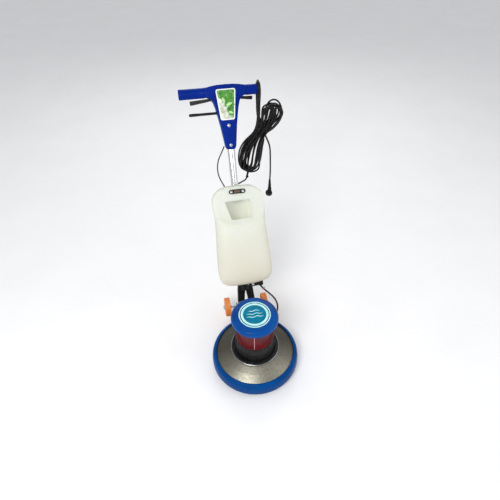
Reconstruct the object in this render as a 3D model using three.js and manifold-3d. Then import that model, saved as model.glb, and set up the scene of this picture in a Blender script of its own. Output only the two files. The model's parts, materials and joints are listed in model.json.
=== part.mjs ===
// Rotary floor machine: a round scrubbing deck with an upright motor, two transport wheels, a leaning
// handle with a solution tank and a T-shaped head, and its mains cord looped over the right grip.
// Millimetres, +Z up, operator behind (+Y). Origin: on the floor, under the middle of the footprint.
import * as THREE from 'three';
import { mergeVertices } from 'three/addons/utils/BufferGeometryUtils.js';
import Module from 'manifold-3d';

const wasm = await Module();
wasm.setup();

// ---------------------------------------------------------------- driving dimensions
const GAP = 0.3;                 // clearance that touching pieces keep
const WIDE = 36;                 // facets round the deck's large turned pieces
const ROUND = 26;                // facets round a middling one
const FINE = 16;                 // facets round a small one

const FOOTPRINT_Y = -316.5;        // the deck's axis, from the middle of the footprint
const DECK_R = 220;              // bumper's outer radius
const BRUSH_R = 190;             // outer radius of the bristles
const BRUSH_TOP = 52;            // top of the brush's block
const PLATE_TOP = 122;           // flat top of the deck plate, where the gearcase sits
const CASE_TOP = 212;            // top of the gearcase
const MOTOR_TOP = 330;           // top of the motor's shell
const STATOR_R = 91.5;           // motor shell's outer radius
const CAP_R = 115;               // motor cap's outer radius
const CAP_TOP = 373;
const BADGE_R = 94;              // where the cap's flat top ends

const PIVOT = { y: 245, z: 105 };     // hinge line between deck and handle
const AXLE = { y: 290, z: 95 };       // wheel axle
const PIN_R = 8;
const WHEEL_R = 52;
const WHEEL_W = 30;
const WHEEL_X = 103;             // middle of each wheel
const LEAN = THREE.MathUtils.degToRad(30);

const POLE_R = 19;               // chrome handle tube
const POLE_WALL = 1.6;
const POLE_FROM = 125;
const POLE_TO = 1012;
const GRIP_S = 1158;             // the grips' axis, along the handle from the pivot
const GRIP_R = 26;               // half height of a grip
const GRIP_DEPTH = 0.85;         // a grip's depth as a share of its height
const LEFT_ARM = 232;
const RIGHT_ARM = 178;
const HEAD_FRONT = -30;
const HEAD_BACK = 22;

const TANK_BACK = -30;           // tank's back wall, in front of the pole
const TANK_WALL = 4;
const TANK_BOTTOM = 186;
const TANK_TOP = 692;            // top of the shoulders

const GEAR_MODULE = 1.9;
const TEETH = { sun: 8, planet: 28, ring: 64 };
const PLANETS = 3;
const GEAR_Z = 146;
const GEAR_W = 16;
const PLANET_ORBIT = GEAR_MODULE * (TEETH.sun + TEETH.planet) / 2;

const CORD_R = 4.5;              // mains cord
const HOSE_R = 4.5;
const CABLE_R = 3;               // sheathed pull cable

// ---------------------------------------------------------------- solids
function weld(geometry) {
  const bare = geometry.index ? geometry.clone() : geometry;
  for (const name of ['normal', 'uv']) bare.deleteAttribute(name);
  return mergeVertices(bare, 1e-4);
}

function signedVolume(geometry) {
  const p = geometry.attributes.position;
  const [a, b, c] = [new THREE.Vector3(), new THREE.Vector3(), new THREE.Vector3()];
  let total = 0;
  for (let i = 0; i < geometry.index.count; i += 3) {
    a.fromBufferAttribute(p, geometry.index.getX(i));
    b.fromBufferAttribute(p, geometry.index.getX(i + 1));
    c.fromBufferAttribute(p, geometry.index.getX(i + 2));
    total += a.dot(b.cross(c));
  }
  return total / 6;
}

// A welded copy without needle faces, facing out.
function closed(geometry) {
  const welded = weld(geometry);
  const flip = signedVolume(welded) < 0;
  const kept = [];
  for (let i = 0; i < welded.index.count; i += 3) {
    const [a, b, c] = [0, 1, 2].map((k) => welded.index.getX(i + k));
    if (a === b || b === c || a === c) continue;
    kept.push(...(flip ? [a, c, b] : [a, b, c]));
  }
  welded.setIndex(kept);
  return welded;
}

function solid(geometry) {
  const g = closed(geometry);
  return new wasm.Manifold(new wasm.Mesh({
    numProp: 3,
    vertProperties: new Float32Array(g.attributes.position.array),
    triVerts: new Uint32Array(g.index.array),
  }));
}

function fromSolid(manifold) {
  const mesh = manifold.getMesh();
  const g = new THREE.BufferGeometry();
  g.setAttribute('position', new THREE.BufferAttribute(new Float32Array(mesh.vertProperties), 3));
  g.setIndex(Array.from(mesh.triVerts));
  return g;
}

const join = (...parts) => fromSolid(parts.map(solid).reduce((a, b) => a.add(b)));
const cut = (part, ...tools) => fromSolid(tools.map(solid).reduce((a, b) => a.subtract(b), solid(part)));
const common = (a, b) => fromSolid(solid(a).intersect(solid(b)));

// ---------------------------------------------------------------- shapes
// Turned about Z. The profile is [radius, height] pairs and closes on itself.
function turned(profile, segments = ROUND) {
  const points = [...profile, profile[0]].map(([r, z]) => new THREE.Vector2(r, z));
  return closed(new THREE.LatheGeometry(points, segments).rotateX(Math.PI / 2));
}

const ring = (inner, outer, z0, z1, segments = ROUND) =>
  turned([[inner, z0], [outer, z0], [outer, z1], [inner, z1]], segments);

const rod = (r, z0, z1, segments = FINE) =>
  closed(new THREE.CylinderGeometry(r, r, z1 - z0, segments).rotateX(Math.PI / 2).translate(0, 0, (z0 + z1) / 2));

const rodX = (r, x0, x1, y, z, segments = FINE) =>
  rod(r, x0, x1, segments).rotateY(Math.PI / 2).translate(0, y, z);

const rodY = (r, y0, y1, x, z, segments = FINE) =>
  rod(r, -y1, -y0, segments).rotateX(Math.PI / 2).translate(x, 0, z);

function block(x0, x1, y0, y1, z0, z1) {
  return new THREE.BoxGeometry(x1 - x0, y1 - y0, z1 - z0)
    .translate((x0 + x1) / 2, (y0 + y1) / 2, (z0 + z1) / 2);
}

const outline = (points) => new THREE.Shape(points.map(([a, b]) => new THREE.Vector2(a, b)));

// A flat outline given as [x, z], thickened from y0 to y1.
function slabXZ(shape, y0, y1, bevel = 0) {
  const g = new THREE.ExtrudeGeometry(shape, {
    depth: y1 - y0 - 2 * bevel,
    bevelEnabled: bevel > 0,
    bevelSize: bevel,
    bevelThickness: bevel,
    bevelOffset: -bevel,
    bevelSegments: bevel > 4 ? 2 : 1,
    curveSegments: 8,
  });
  return closed(g.rotateX(Math.PI / 2).translate(0, y1 - bevel, 0));
}

// A flat outline given as [y, z], thickened from x0 to x1.
function slabYZ(shape, x0, x1) {
  const g = new THREE.ExtrudeGeometry(shape, { depth: x1 - x0, bevelEnabled: false, curveSegments: 6 });
  return closed(g.rotateX(Math.PI / 2).rotateZ(Math.PI / 2).translate(x0, 0, 0));
}

function tube(points, radius, sides, steps) {
  const section = new THREE.Shape();
  section.absarc(0, 0, radius, 0, 2 * Math.PI);
  const path = new THREE.CatmullRomCurve3(points.map((p) => new THREE.Vector3(...p)), false, 'centripetal');
  const round = new THREE.Shape(section.getSpacedPoints(sides).slice(0, sides));
  return closed(new THREE.ExtrudeGeometry(round, { steps, extrudePath: path, bevelEnabled: false }));
}

// Rings of equal point count, joined and closed with fans at both ends.
function lofted(rings) {
  const n = rings[0].length;
  const positions = [];
  const faces = [];
  for (const ring of rings) for (const p of ring) positions.push(...p);
  for (let k = 0; k + 1 < rings.length; k += 1) {
    for (let i = 0; i < n; i += 1) {
      const [a, b] = [k * n + i, k * n + (i + 1) % n];
      faces.push(a, b, b + n, a, b + n, a + n);
    }
  }
  for (const k of [0, rings.length - 1]) {
    const middle = positions.length / 3;
    const sum = rings[k].reduce((s, p) => s.map((v, j) => v + p[j] / n), [0, 0, 0]);
    positions.push(...sum);
    for (let i = 0; i < n; i += 1) {
      const [a, b] = [k * n + i, k * n + (i + 1) % n];
      faces.push(...(k === 0 ? [middle, b, a] : [middle, a, b]));
    }
  }
  const g = new THREE.BufferGeometry();
  g.setAttribute('position', new THREE.Float32BufferAttribute(positions, 3));
  g.setIndex(faces);
  return closed(g);
}

// ---------------------------------------------------------------- materials and nodes
const finish = (color, roughness, metalness = 0) => ({ color, roughness, metalness });
const LOOK = {
  blueCap: finish(0x0b4fc4, 0.25),
  blueHead: finish(0x1226a0, 0.35),
  bumper: finish(0x1059b8, 0.4),
  black: finish(0x161616, 0.45),
  rubber: finish(0x101010, 0.7),
  galvanised: finish(0x9b968a, 0.4, 0.8),
  steel: finish(0xb8bcc0, 0.3, 0.9),
  chrome: finish(0xe4e7ea, 0.08, 1),
  red: finish(0x8c1420, 0.35),
  copper: finish(0xb4642c, 0.4, 0.8),
  tank: finish(0xe9e7d8, 0.45),
  orange: finish(0xf2a263, 0.5),
  bristle: finish(0xe8e8e0, 0.8),
  block: finish(0x1a2f7a, 0.5),
  lamination: finish(0x8a8f94, 0.5, 0.5),
};

const machine = new THREE.Group();
const deck = new THREE.Group();
const handle = new THREE.Group();
machine.add(deck, handle);
machine.position.y = FOOTPRINT_Y;
handle.position.set(0, PIVOT.y, PIVOT.z);
handle.rotation.x = -LEAN;

function node(group, name, geometry, look) {
  const mesh = new THREE.Mesh(geometry, new THREE.MeshStandardMaterial(look));
  mesh.name = name;
  group.add(mesh);
}

// ---------------------------------------------------------------- brush and drive
const BRISTLE_TOP = BRUSH_TOP - 20;
node(deck, 'bristle_ring', ring(95, BRUSH_R, 0, BRISTLE_TOP), LOOK.bristle);
node(deck, 'brush_block', turned([
  [48, BRISTLE_TOP + GAP], [BRUSH_R + 2, BRISTLE_TOP + GAP], [BRUSH_R + 6, BRISTLE_TOP + 5],
  [BRUSH_R + 6, BRUSH_TOP - 5], [BRUSH_R, BRUSH_TOP], [48, BRUSH_TOP],
]), LOOK.block);
const CLUTCH_TOP = BRUSH_TOP + 8;
node(deck, 'clutch_plate', ring(30, 78, BRUSH_TOP + GAP, CLUTCH_TOP, 24), LOOK.black);

function lugHub() {
  const lugs = Array.from({ length: 3 }, (_, i) =>
    block(-14, 14, 0, 66, CLUTCH_TOP + GAP, CLUTCH_TOP + 12).rotateZ(i * 2 * Math.PI / 3));
  return cut(join(rod(34, CLUTCH_TOP + GAP, CLUTCH_TOP + 18, 30), ...lugs), rod(10 + GAP, 0, 200));
}
node(deck, 'drive_hub', lugHub(), LOOK.steel);

const CARRIER_TOP = GEAR_Z - 1;
const PLANET_PIN_R = 5;
function planetAngle(i) {
  return Math.PI / 2 + i * 2 * Math.PI / PLANETS;
}
function planetCarrier() {
  const pins = Array.from({ length: PLANETS }, (_, i) => rod(PLANET_PIN_R, CARRIER_TOP - 2, GEAR_Z + GEAR_W + 1, 14)
    .translate(PLANET_ORBIT * Math.cos(planetAngle(i)), PLANET_ORBIT * Math.sin(planetAngle(i)), 0));
  return join(rod(50, CARRIER_TOP - 8, CARRIER_TOP, 36), rod(17.7, 80, CARRIER_TOP - 4, 24), rod(10, 62, 82), ...pins);
}
node(deck, 'planet_carrier', planetCarrier(), LOOK.steel);

// Straight-flanked teeth, four corners each, thinned for backlash. inward puts them inside a ring.
function toothedShape(teeth, phase, inward = false) {
  const pitch = GEAR_MODULE * teeth / 2;
  const side = inward ? -1 : 1;
  const tip = pitch + side * 0.85 * GEAR_MODULE;
  const root = pitch - side * 1.2 * GEAR_MODULE;
  const step = 2 * Math.PI / teeth;
  const points = [];
  for (let i = 0; i < teeth; i += 1) {
    for (const [share, r] of [[-0.32, root], [-0.1, tip], [0.1, tip], [0.32, root]]) {
      const a = phase + (i + share) * step;
      points.push([r * Math.cos(a), r * Math.sin(a)]);
    }
  }
  return outline(points);
}

function gear(shape, bore) {
  if (bore) shape.holes.push(new THREE.Path().absarc(0, 0, bore, 0, 2 * Math.PI, true));
  const g = new THREE.ExtrudeGeometry(shape, { depth: GEAR_W, bevelEnabled: false, curveSegments: 8 });
  return closed(g.translate(0, 0, GEAR_Z));
}

// Each planet is turned so that its teeth fall into the sun's gaps, and the ring's into the planets'.
function planetPhase(angle) {
  const step = 2 * Math.PI / TEETH.planet;
  return angle + Math.PI - step * (0.5 - angle * TEETH.sun / (2 * Math.PI));
}
const firstPlanet = planetAngle(0);
const RING_PHASE = firstPlanet
  - ((firstPlanet - planetPhase(firstPlanet)) * TEETH.planet / (2 * Math.PI) + 0.5) * 2 * Math.PI / TEETH.ring;

node(deck, 'sun_pinion', gear(toothedShape(TEETH.sun, 0), 4 + GAP), LOOK.steel);
for (let i = 0; i < PLANETS; i += 1) {
  const angle = planetAngle(i);
  const wheel = gear(toothedShape(TEETH.planet, planetPhase(angle)), PLANET_PIN_R + GAP)
    .translate(PLANET_ORBIT * Math.cos(angle), PLANET_ORBIT * Math.sin(angle), 0);
  node(deck, `planet_gear_${i + 1}`, wheel, LOOK.steel);
}
const RING_GEAR_R = 72.5;
function ringGear() {
  const teeth = toothedShape(TEETH.ring, RING_PHASE, true);
  const body = new THREE.Shape().absarc(0, 0, RING_GEAR_R, 0, 2 * Math.PI);
  body.holes.push(new THREE.Path(teeth.getPoints().reverse()));
  const g = new THREE.ExtrudeGeometry(body, { depth: GEAR_W, bevelEnabled: false, curveSegments: 16 });
  return closed(g.translate(0, 0, GEAR_Z));
}
node(deck, 'ring_gear', ringGear(), LOOK.steel);

// ---------------------------------------------------------------- deck and gearcase
node(deck, 'bumper_ring', turned([
  [DECK_R - 12, 17], [DECK_R - 5, 16], [DECK_R, 40], [DECK_R - 3, 74],
  [DECK_R - 11, 87], [DECK_R - 22, 89], [DECK_R - 22, 85.2], [DECK_R - 12, 77.5],
], WIDE), LOOK.bumper);
node(deck, 'deck_plate', turned([
  [36, PLATE_TOP], [PLATE_TOP, PLATE_TOP], [DECK_R - 23, 84], [DECK_R - 12.5, 76],
  [DECK_R - 12.5, 42], [DECK_R - 16, 42], [DECK_R - 16, 74], [DECK_R - 24, 80.5],
  [PLATE_TOP - 1, PLATE_TOP - 3.5], [36, PLATE_TOP - 3.5],
], WIDE), LOOK.galvanised);

const CASE_FLOOR = PLATE_TOP + GAP;
node(deck, 'gearcase', turned([
  [31.3, CASE_FLOOR], [100, CASE_FLOOR], [101, 150], [99, 176], [95, 196], [91.5, CASE_TOP],
  [RING_GEAR_R + 0.5, CASE_TOP], [RING_GEAR_R + 0.5, 136], [31.3, 136],
], 30), LOOK.black);
node(deck, 'flange_ring', turned([
  [102, CASE_FLOOR], [120, CASE_FLOOR], [120, 128], [117, 132], [102, 132],
], WIDE), LOOK.black);
node(deck, 'output_bearing', ring(17.7 + GAP, 31, CASE_FLOOR, 135.7, 20), LOOK.steel);
node(deck, 'gearcase_cover', ring(22.3, RING_GEAR_R, CASE_TOP - 9, CASE_TOP - 1), LOOK.black);
node(deck, 'lower_motor_bearing', ring(12.5 + GAP, 22, CASE_TOP - 9, CASE_TOP - 1, 18), LOOK.steel);

// ---------------------------------------------------------------- motor
const CORE_Z = [236, 306];
const STATOR_BORE = 55;
const SLOTS = 9;
const SLOT_IN = 58;
const SLOT_OUT = 80;
function slotBars(half, z0, z1, r0, r1) {
  return Array.from({ length: SLOTS }, (_, i) => block(r0, r1, -half, half, z0, z1).rotateZ((i + 0.5) * 2 * Math.PI / SLOTS));
}
node(deck, 'stator_shell', ring(STATOR_R - 3, STATOR_R, CASE_TOP + GAP, MOTOR_TOP), LOOK.red);
node(deck, 'stator_core', cut(
  ring(STATOR_BORE, STATOR_R - 3 - GAP, CORE_Z[0], CORE_Z[1]),
  ...slotBars(6, CORE_Z[0] - 5, CORE_Z[1] + 5, SLOT_IN, SLOT_OUT),
), LOOK.lamination);
node(deck, 'stator_winding', join(
  ring(SLOT_IN + 1, SLOT_OUT + 4, CORE_Z[0] - 16, CORE_Z[0] - 1, 24),
  ring(SLOT_IN + 1, SLOT_OUT + 4, CORE_Z[1] + 1, CORE_Z[1] + 16, 24),
  ...slotBars(5.6, CORE_Z[0] - 8, CORE_Z[1] + 8, SLOT_IN + 1.5, SLOT_OUT - 0.5),
), LOOK.copper);
node(deck, 'rotor_core', ring(12.5 + GAP, STATOR_BORE - 0.6, CORE_Z[0], CORE_Z[1]), LOOK.lamination);
const SHIELD_TOP = MOTOR_TOP + 8;
const SHAFT_TOP = 360;
node(deck, 'motor_shaft', turned([
  [0, GEAR_Z - 0.5], [4, GEAR_Z - 0.5], [4, GEAR_Z + GEAR_W + 4], [12.5, GEAR_Z + GEAR_W + 4], [12.5, SHIELD_TOP],
  [10, SHIELD_TOP], [10, SHAFT_TOP], [0, SHAFT_TOP],
], 24), LOOK.steel);
node(deck, 'upper_end_shield', ring(24, 100, MOTOR_TOP + GAP, SHIELD_TOP), LOOK.black);
node(deck, 'upper_motor_bearing', ring(12.5 + GAP, 23.7, MOTOR_TOP + GAP, SHIELD_TOP, 18), LOOK.steel);

const FAN_Z = 344;
function coolingFan() {
  const blades = Array.from({ length: 6 }, (_, i) =>
    block(18, 84, -1.5, 1.5, FAN_Z, FAN_Z + 14).rotateZ(i * Math.PI / 3));
  return join(ring(10 + GAP, 22, FAN_Z - 2, FAN_Z + 15, 18), ring(14, 82, FAN_Z - 2, FAN_Z + 0.5, 24), ...blades);
}
node(deck, 'cooling_fan', coolingFan(), LOOK.black);

const CAP_WALL = 4;
node(deck, 'motor_cap', turned([
  [CAP_R - 5, SHIELD_TOP - 2], [CAP_R, 346], [CAP_R - 2, 357], [CAP_R - 10, 368], [BADGE_R, CAP_TOP],
  [0, CAP_TOP], [0, CAP_TOP - CAP_WALL], [BADGE_R - 2, CAP_TOP - CAP_WALL], [CAP_R - 13, 365],
  [CAP_R - 6, 355], [CAP_R - 4, 347], [CAP_R - 13.5, 342], [CAP_R - 13.5, SHIELD_TOP - 2],
], 32), LOOK.blueCap);

const BOX = { x: 32, y0: STATOR_R + 0.6, y1: 128, z0: 222, z1: 292, wall: 3 };
node(deck, 'terminal_box', cut(
  block(-BOX.x, BOX.x, BOX.y0, BOX.y1, BOX.z0, BOX.z1),
  block(-BOX.x + BOX.wall, BOX.x - BOX.wall, BOX.y0 - 1, BOX.y1 - BOX.wall, BOX.z0 + BOX.wall, BOX.z1 - BOX.wall),
), LOOK.black);
node(deck, 'run_capacitor', rodX(14, -23, 23, 108, 258), LOOK.lamination);
node(deck, 'motor_lead_gland', turned([
  [0, BOX.y1 + GAP], [9, BOX.y1 + GAP], [9, BOX.y1 + 8], [5.5, BOX.y1 + 26], [0, BOX.y1 + 26],
], FINE).rotateX(-Math.PI / 2).translate(0, 0, 240), LOOK.black);

// ---------------------------------------------------------------- rear bracket and wheels
const EAR = [48.3, 54];
const SLOPE = [[148, 109.6], [189, 88.9]];      // just above the deck plate's cone
function earShape() {
  const shape = outline([
    ...SLOPE, [192, 91], [224, 91], [262, 84], [286, 79], [300, 81], [308, 95], [300, 108], [262, 122],
    [245, 127], [222, 124], [186, 116], [148, 118],
  ]);
  for (const at of [PIVOT, AXLE]) {
    shape.holes.push(new THREE.Path().absarc(at.y, at.z, PIN_R + GAP, 0, 2 * Math.PI, true));
  }
  return shape;
}
const footPlate = outline([...SLOPE, [189, 93.5], [148, 114.2]]);
node(deck, 'rear_bracket', join(
  slabYZ(earShape(), EAR[0], EAR[1]),
  slabYZ(earShape(), -EAR[1], -EAR[0]),
  slabYZ(footPlate, -EAR[1] + 0.5, EAR[1] - 0.5),
), LOOK.black);
node(deck, 'pivot_pin', join(
  rodX(PIN_R, -57, 57, PIVOT.y, PIVOT.z),
  rodX(13, -62, -56, PIVOT.y, PIVOT.z),
), LOOK.steel);
node(deck, 'wheel_axle', rodX(PIN_R, -WHEEL_X - 20, WHEEL_X + 20, AXLE.y, AXLE.z), LOOK.steel);
for (const [name, side] of [['wheel_left', -1], ['wheel_right', 1]]) {
  const half = WHEEL_W / 2;
  const wheel = turned([
    [PIN_R + GAP, -half], [18, -half], [22, -half + 7], [36, -half + 5], [WHEEL_R - 3, -half],
    [WHEEL_R, -half + 4], [WHEEL_R, half - 4], [WHEEL_R - 3, half], [36, half - 5], [22, half - 7],
    [18, half], [PIN_R + GAP, half],
  ], 20);
  node(deck, name, wheel.rotateY(Math.PI / 2).translate(side * WHEEL_X, AXLE.y, AXLE.z), LOOK.orange);
}
const INLET = { r: 181, angle: 0.884 };        // where the hose meets the deck
function hoseInlet() {
  const elbow = join(rod(9, 84, 112, 16), rodX(5, 0, 26, 0, 106, 12)).rotateZ(INLET.angle)
    .translate(INLET.r * Math.cos(INLET.angle), INLET.r * Math.sin(INLET.angle), 0);
  const deckCone = turned([[0, 60], [198, 60], [198, 84], [PLATE_TOP, PLATE_TOP + 0.5], [0, PLATE_TOP + 0.5]], WIDE);
  return cut(elbow, deckCone);
}
node(deck, 'hose_inlet', hoseInlet(), LOOK.black);

// ---------------------------------------------------------------- fork and pole (handle frame: Z along the pole)
const FORK = { outer: 46, depth: 15, top: 215, collar: 27, split: 118 };
function forkShape() {
  const right = [
    [10, -28], [30, -28], [42, -20], [FORK.outer, 0], [FORK.outer, 60], [41, 130], [30, 180], [24, 205],
  ];
  const left = right.map(([x, s]) => [-x, s]).reverse();
  return outline([...right, ...left, [-9.5, 66], [-1.5, FORK.split], [1.5, FORK.split], [9.5, 66]]);
}
node(handle, 'fork', cut(
  join(slabXZ(forkShape(), -FORK.depth, FORK.depth, 3), rod(FORK.collar, FORK.split, FORK.top, 28)),
  rod(POLE_R + GAP, POLE_FROM - GAP, FORK.top + 5, 32),
  rodX(PIN_R + GAP, -60, 60, 0, 0),
), LOOK.black);
node(handle, 'handle_pole', ring(POLE_R - POLE_WALL, POLE_R, POLE_FROM, POLE_TO, 32), LOOK.chrome);

// ---------------------------------------------------------------- T-shaped head
function headOutline() {
  const right = [
    [0, 1190], [46, 1189], [78, 1185], [96, 1180], [96, 1136], [80, 1128], [67, 1111], [58, 1080],
    [50, 1040], [41, 990], [30, 908], [27, 888], [20, 875], [0, 873],
  ];
  const left = right.slice(1, -1).map(([x, s]) => [-x, s]).reverse();
  return outline([...right, ...left]);
}
function grip(x0, x1) {
  return rodX(GRIP_R, x0, x1, 0, 0, 28).scale(1, GRIP_DEPTH, 1).translate(0, 0, GRIP_S);
}
const LEVER_S = 1057;
const TRIGGER_S = 1128;
const TRIGGER_X = 38;
function headSolid() {
  const shell = join(
    slabXZ(headOutline(), HEAD_FRONT, HEAD_BACK, 5), grip(-LEFT_ARM, -70), grip(70, RIGHT_ARM),
  );
  return cut(
    shell,
    rod(POLE_R + GAP, 860, POLE_TO + 1, 32),
    block(-44, 44, -21, 15, 1044, 1152),
    block(-98, -40, -8, 8, 1106, 1144),
    block(40, 98, -8, 8, 1106, 1144),
    block(-75, -40, -9, 9, LEVER_S - 9, LEVER_S + 14),
  );
}
const head = headSolid();
const half = (y0, y1) => common(head, block(-300, 300, y0, y1, 800, 1300));
node(handle, 'head_front_shell', half(-60, -GAP / 2), LOOK.blueHead);
node(handle, 'head_rear_shell', half(GAP / 2, 60), LOOK.blueHead);
node(handle, 'micro_switch', block(-18, 18, -11, 11, 1094, 1118), LOOK.black);
for (const [name, s] of [['head_screw_upper', 992], ['head_screw_lower', 895]]) {
  node(handle, name, turned([
    [0, HEAD_FRONT - 4], [5, HEAD_FRONT - 3.4], [7, HEAD_FRONT - GAP], [0, HEAD_FRONT - GAP],
  ], FINE).rotateX(-Math.PI / 2).translate(0, 0, s), LOOK.steel);
}

// A flat trigger bar under each grip, deeper towards its end, turning on a stub axle inside the head.
function trigger(side, reach, droop) {
  const end = 6 + reach * 0.03;
  const bar = slabXZ(outline([[-9, -5], [0, -6], [reach, -end], [reach, end], [60, 6.2], [0, 6], [-9, 5]]), -6.5, 6.5);
  const axle = rodY(3, -14, 14, 0, 0, 12);
  return join(bar, axle).rotateY(droop).scale(side, 1, 1).translate(side * TRIGGER_X, 0, TRIGGER_S);
}
const TRIGGER_DROOP = THREE.MathUtils.degToRad(6);
node(handle, 'switch_trigger_left', closed(trigger(-1, 143, TRIGGER_DROOP)), LOOK.black);
node(handle, 'switch_trigger_right', closed(trigger(1, 96, TRIGGER_DROOP)), LOOK.black);
const LEVER_R = 7.5;
node(handle, 'water_lever', join(
  rodX(LEVER_R, -184, -36, 0, LEVER_S, 14),
  new THREE.SphereGeometry(LEVER_R, 14, 7).translate(-184, 0, LEVER_S),
  rodY(3, -14, 14, -38, LEVER_S, 12),
), LOOK.black);

// ---------------------------------------------------------------- solution tank
// Along the handle: [s, half width, front wall's depth, how square the section is]
const TANK_ROWS = [
  [TANK_BOTTOM, 80, -125, 2.6], [190, 100, -144, 2.8], [204, 121, -165, 3], [230, 134, -177, 3.4],
  [264, 138, -181, 3.6], [330, 137, -180, 3.6], [420, 131, -174, 3.6], [500, 126, -164, 3.6], [514, 126, -156, 3.6],
  [600, 131, -126, 4], [640, 130, -112, 4], [664, 117, -103, 3.6], [681, 96, -96, 3], [TANK_TOP, 74, -84, 2.6],
];
const TANK_SIDES = 24;
function tankRing([s, half, front, square], inset) {
  const middle = (front + TANK_BACK) / 2;
  const depth = (TANK_BACK - front) / 2 - inset;
  return Array.from({ length: TANK_SIDES }, (_, i) => {
    const a = (i + 0.5) * 2 * Math.PI / TANK_SIDES;
    const bulge = (v) => Math.sign(v) * Math.abs(v) ** (2 / square);
    return [(half - inset) * bulge(Math.cos(a)), middle + depth * bulge(Math.sin(a)), s];
  });
}
function tankHollow() {
  const inner = TANK_ROWS.slice(2, -1).map((row) => tankRing(row, TANK_WALL));
  const floor = tankRing([TANK_BOTTOM + TANK_WALL, ...TANK_ROWS[1].slice(1)], TANK_WALL + 2);
  const roof = tankRing([TANK_TOP - TANK_WALL, ...TANK_ROWS.at(-1).slice(1)], TANK_WALL);
  return lofted([floor, ...inner, roof]);
}
const MOUTH = [[-72, 626], [62, 628], [60, 536], [-46, 532]];
node(handle, 'solution_tank', cut(
  lofted(TANK_ROWS.map((row) => tankRing(row, 0))),
  tankHollow(),
  slabXZ(outline(MOUTH), -200, -90),
), LOOK.tank);

function tankClamp(s) {
  const pad = block(-22, 22, TANK_BACK + GAP, -14, s - 12, s + 12);
  return cut(join(rod(25, s - 12, s + 12, 28), pad), rod(POLE_R + GAP, s - 20, s + 20, 32));
}
node(handle, 'tank_clamp_upper', tankClamp(612), LOOK.black);
node(handle, 'tank_clamp_lower', tankClamp(300), LOOK.black);

// ---------------------------------------------------------------- hanger plate on the tank's sloping face
const FACET = Math.atan2(112 - 96, 680 - 640);
function hangerPlate() {
  const bar = new THREE.Shape();
  bar.absarc(-31, 0, 11, Math.PI / 2, 1.5 * Math.PI);
  bar.absarc(31, 0, 11, 1.5 * Math.PI, 2.5 * Math.PI);
  return slabXZ(bar, -3, 0).rotateX(-FACET).translate(0, -105.4, 668);
}
node(handle, 'tank_hanger_plate', hangerPlate(), LOOK.steel);

// ---------------------------------------------------------------- water valve, its cable and hose
const VALVE = { x: 68, v: -62, s: TANK_BOTTOM - 21 };
const SPOUT_TILT = THREE.MathUtils.degToRad(35);
node(handle, 'water_valve', cut(
  join(
    rod(9, VALVE.s, TANK_BOTTOM - GAP, 16).translate(VALVE.x, VALVE.v, 0),
    rodX(13, 46, 92, VALVE.v, VALVE.s, 20),
    rod(5, -29, 0, 12).rotateY(-SPOUT_TILT).translate(VALVE.x, VALVE.v, VALVE.s),
    block(17, 48, VALVE.v - 5, VALVE.v + 5, VALVE.s - 13, VALVE.s - 9),
    block(17, 20, VALVE.v - 5, VALVE.v + 5, VALVE.s - 12, VALVE.s + 5),
  ),
  rodX(4.5, 40, 68, VALVE.v, VALVE.s, 16),
), LOOK.black);
node(handle, 'valve_plunger', rodX(4, 30, 58, VALVE.v, VALVE.s, 16), LOOK.steel);

node(handle, 'valve_cable', tube([
  [-32.5, -1, 885], [-39, -1, 875], [-53, -3, 853], [-68, -4, 828], [-77, -5, 798], [-79, -5, 768], [-74, -5, 738],
  [-64, -5, 712], [-52, -5, 686], [-42, -4, 658], [-35, -2, 626], [-32, 0, 590], [-31, 0, 520], [-31, 0, 430],
  [-31, 0, 340], [-31, 0, 280], [-31, -2, 248], [-32, -6, 222], [-32.5, -14, 202], [-31, -25, 187.5],
  [-27, -38, 175.5], [-18, -51, 168], [-3, -60, 165], [16.6, -62, 165],
], CABLE_R, 8, 40), LOOK.rubber);

// The hose is set out in the deck's frame: from the valve's spout, bowing out to the right, to the inlet.
const HOSE_ROUTE = [
  [84.8, 261.8, 258.1], [90.5, 257.8, 251], [105, 250, 237], [124, 240.5, 219], [142, 230.5, 199.5],
  [155, 219.5, 178.5], [160.5, 208.5, 158.5], [160.3, 198.8, 140.5], [156, 191.5, 125.5], [149.5, 183, 114.5],
  [141.6, 172.9, 108.3], [131.9, 160.8, 106],
];
node(deck, 'water_hose', tube(HOSE_ROUTE, HOSE_R, 8, 20), LOOK.rubber);

// ---------------------------------------------------------------- mains cord
const GLAND_S = 688;
const GLAND_TURN = Math.PI / 9;                // to the right of straight back
node(handle, 'cord_gland', turned([
  [0, POLE_R + 0.6], [10, POLE_R + 0.6], [10, POLE_R + 9], [8, POLE_R + 12], [5.5, POLE_R + 27], [0, POLE_R + 27],
], FINE).rotateX(-Math.PI / 2).rotateZ(-GLAND_TURN).translate(0, 0, GLAND_S), LOOK.black);

const GRIP_Y = PIVOT.y + GRIP_S * Math.sin(LEAN);
const GRIP_Z = PIVOT.z + GRIP_S * Math.cos(LEAN);
const HANK_X = [153, 180];                   // strands that lie over the grip
const HANK_DEPTH = 22;                       // half depth of the hanging hank
const TAIL_ROUTE = [
  [15.9, 626.8, 679], [19, 634.5, 674.6], [26, 648, 667], [38, 670, 655], [52, 700, 638], [66, 730, 623],
  [76, 750, 610], [82.5, 764, 604.6], [89, 778.3, 599.5], [95, 792, 597.2], [100, 806, 599.6], [103, 816, 605],
  [105, 822.6, 611.5],
];
node(deck, 'mains_cord_tail', tube(TAIL_ROUTE, CORD_R, 8, 20), LOOK.rubber);

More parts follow.
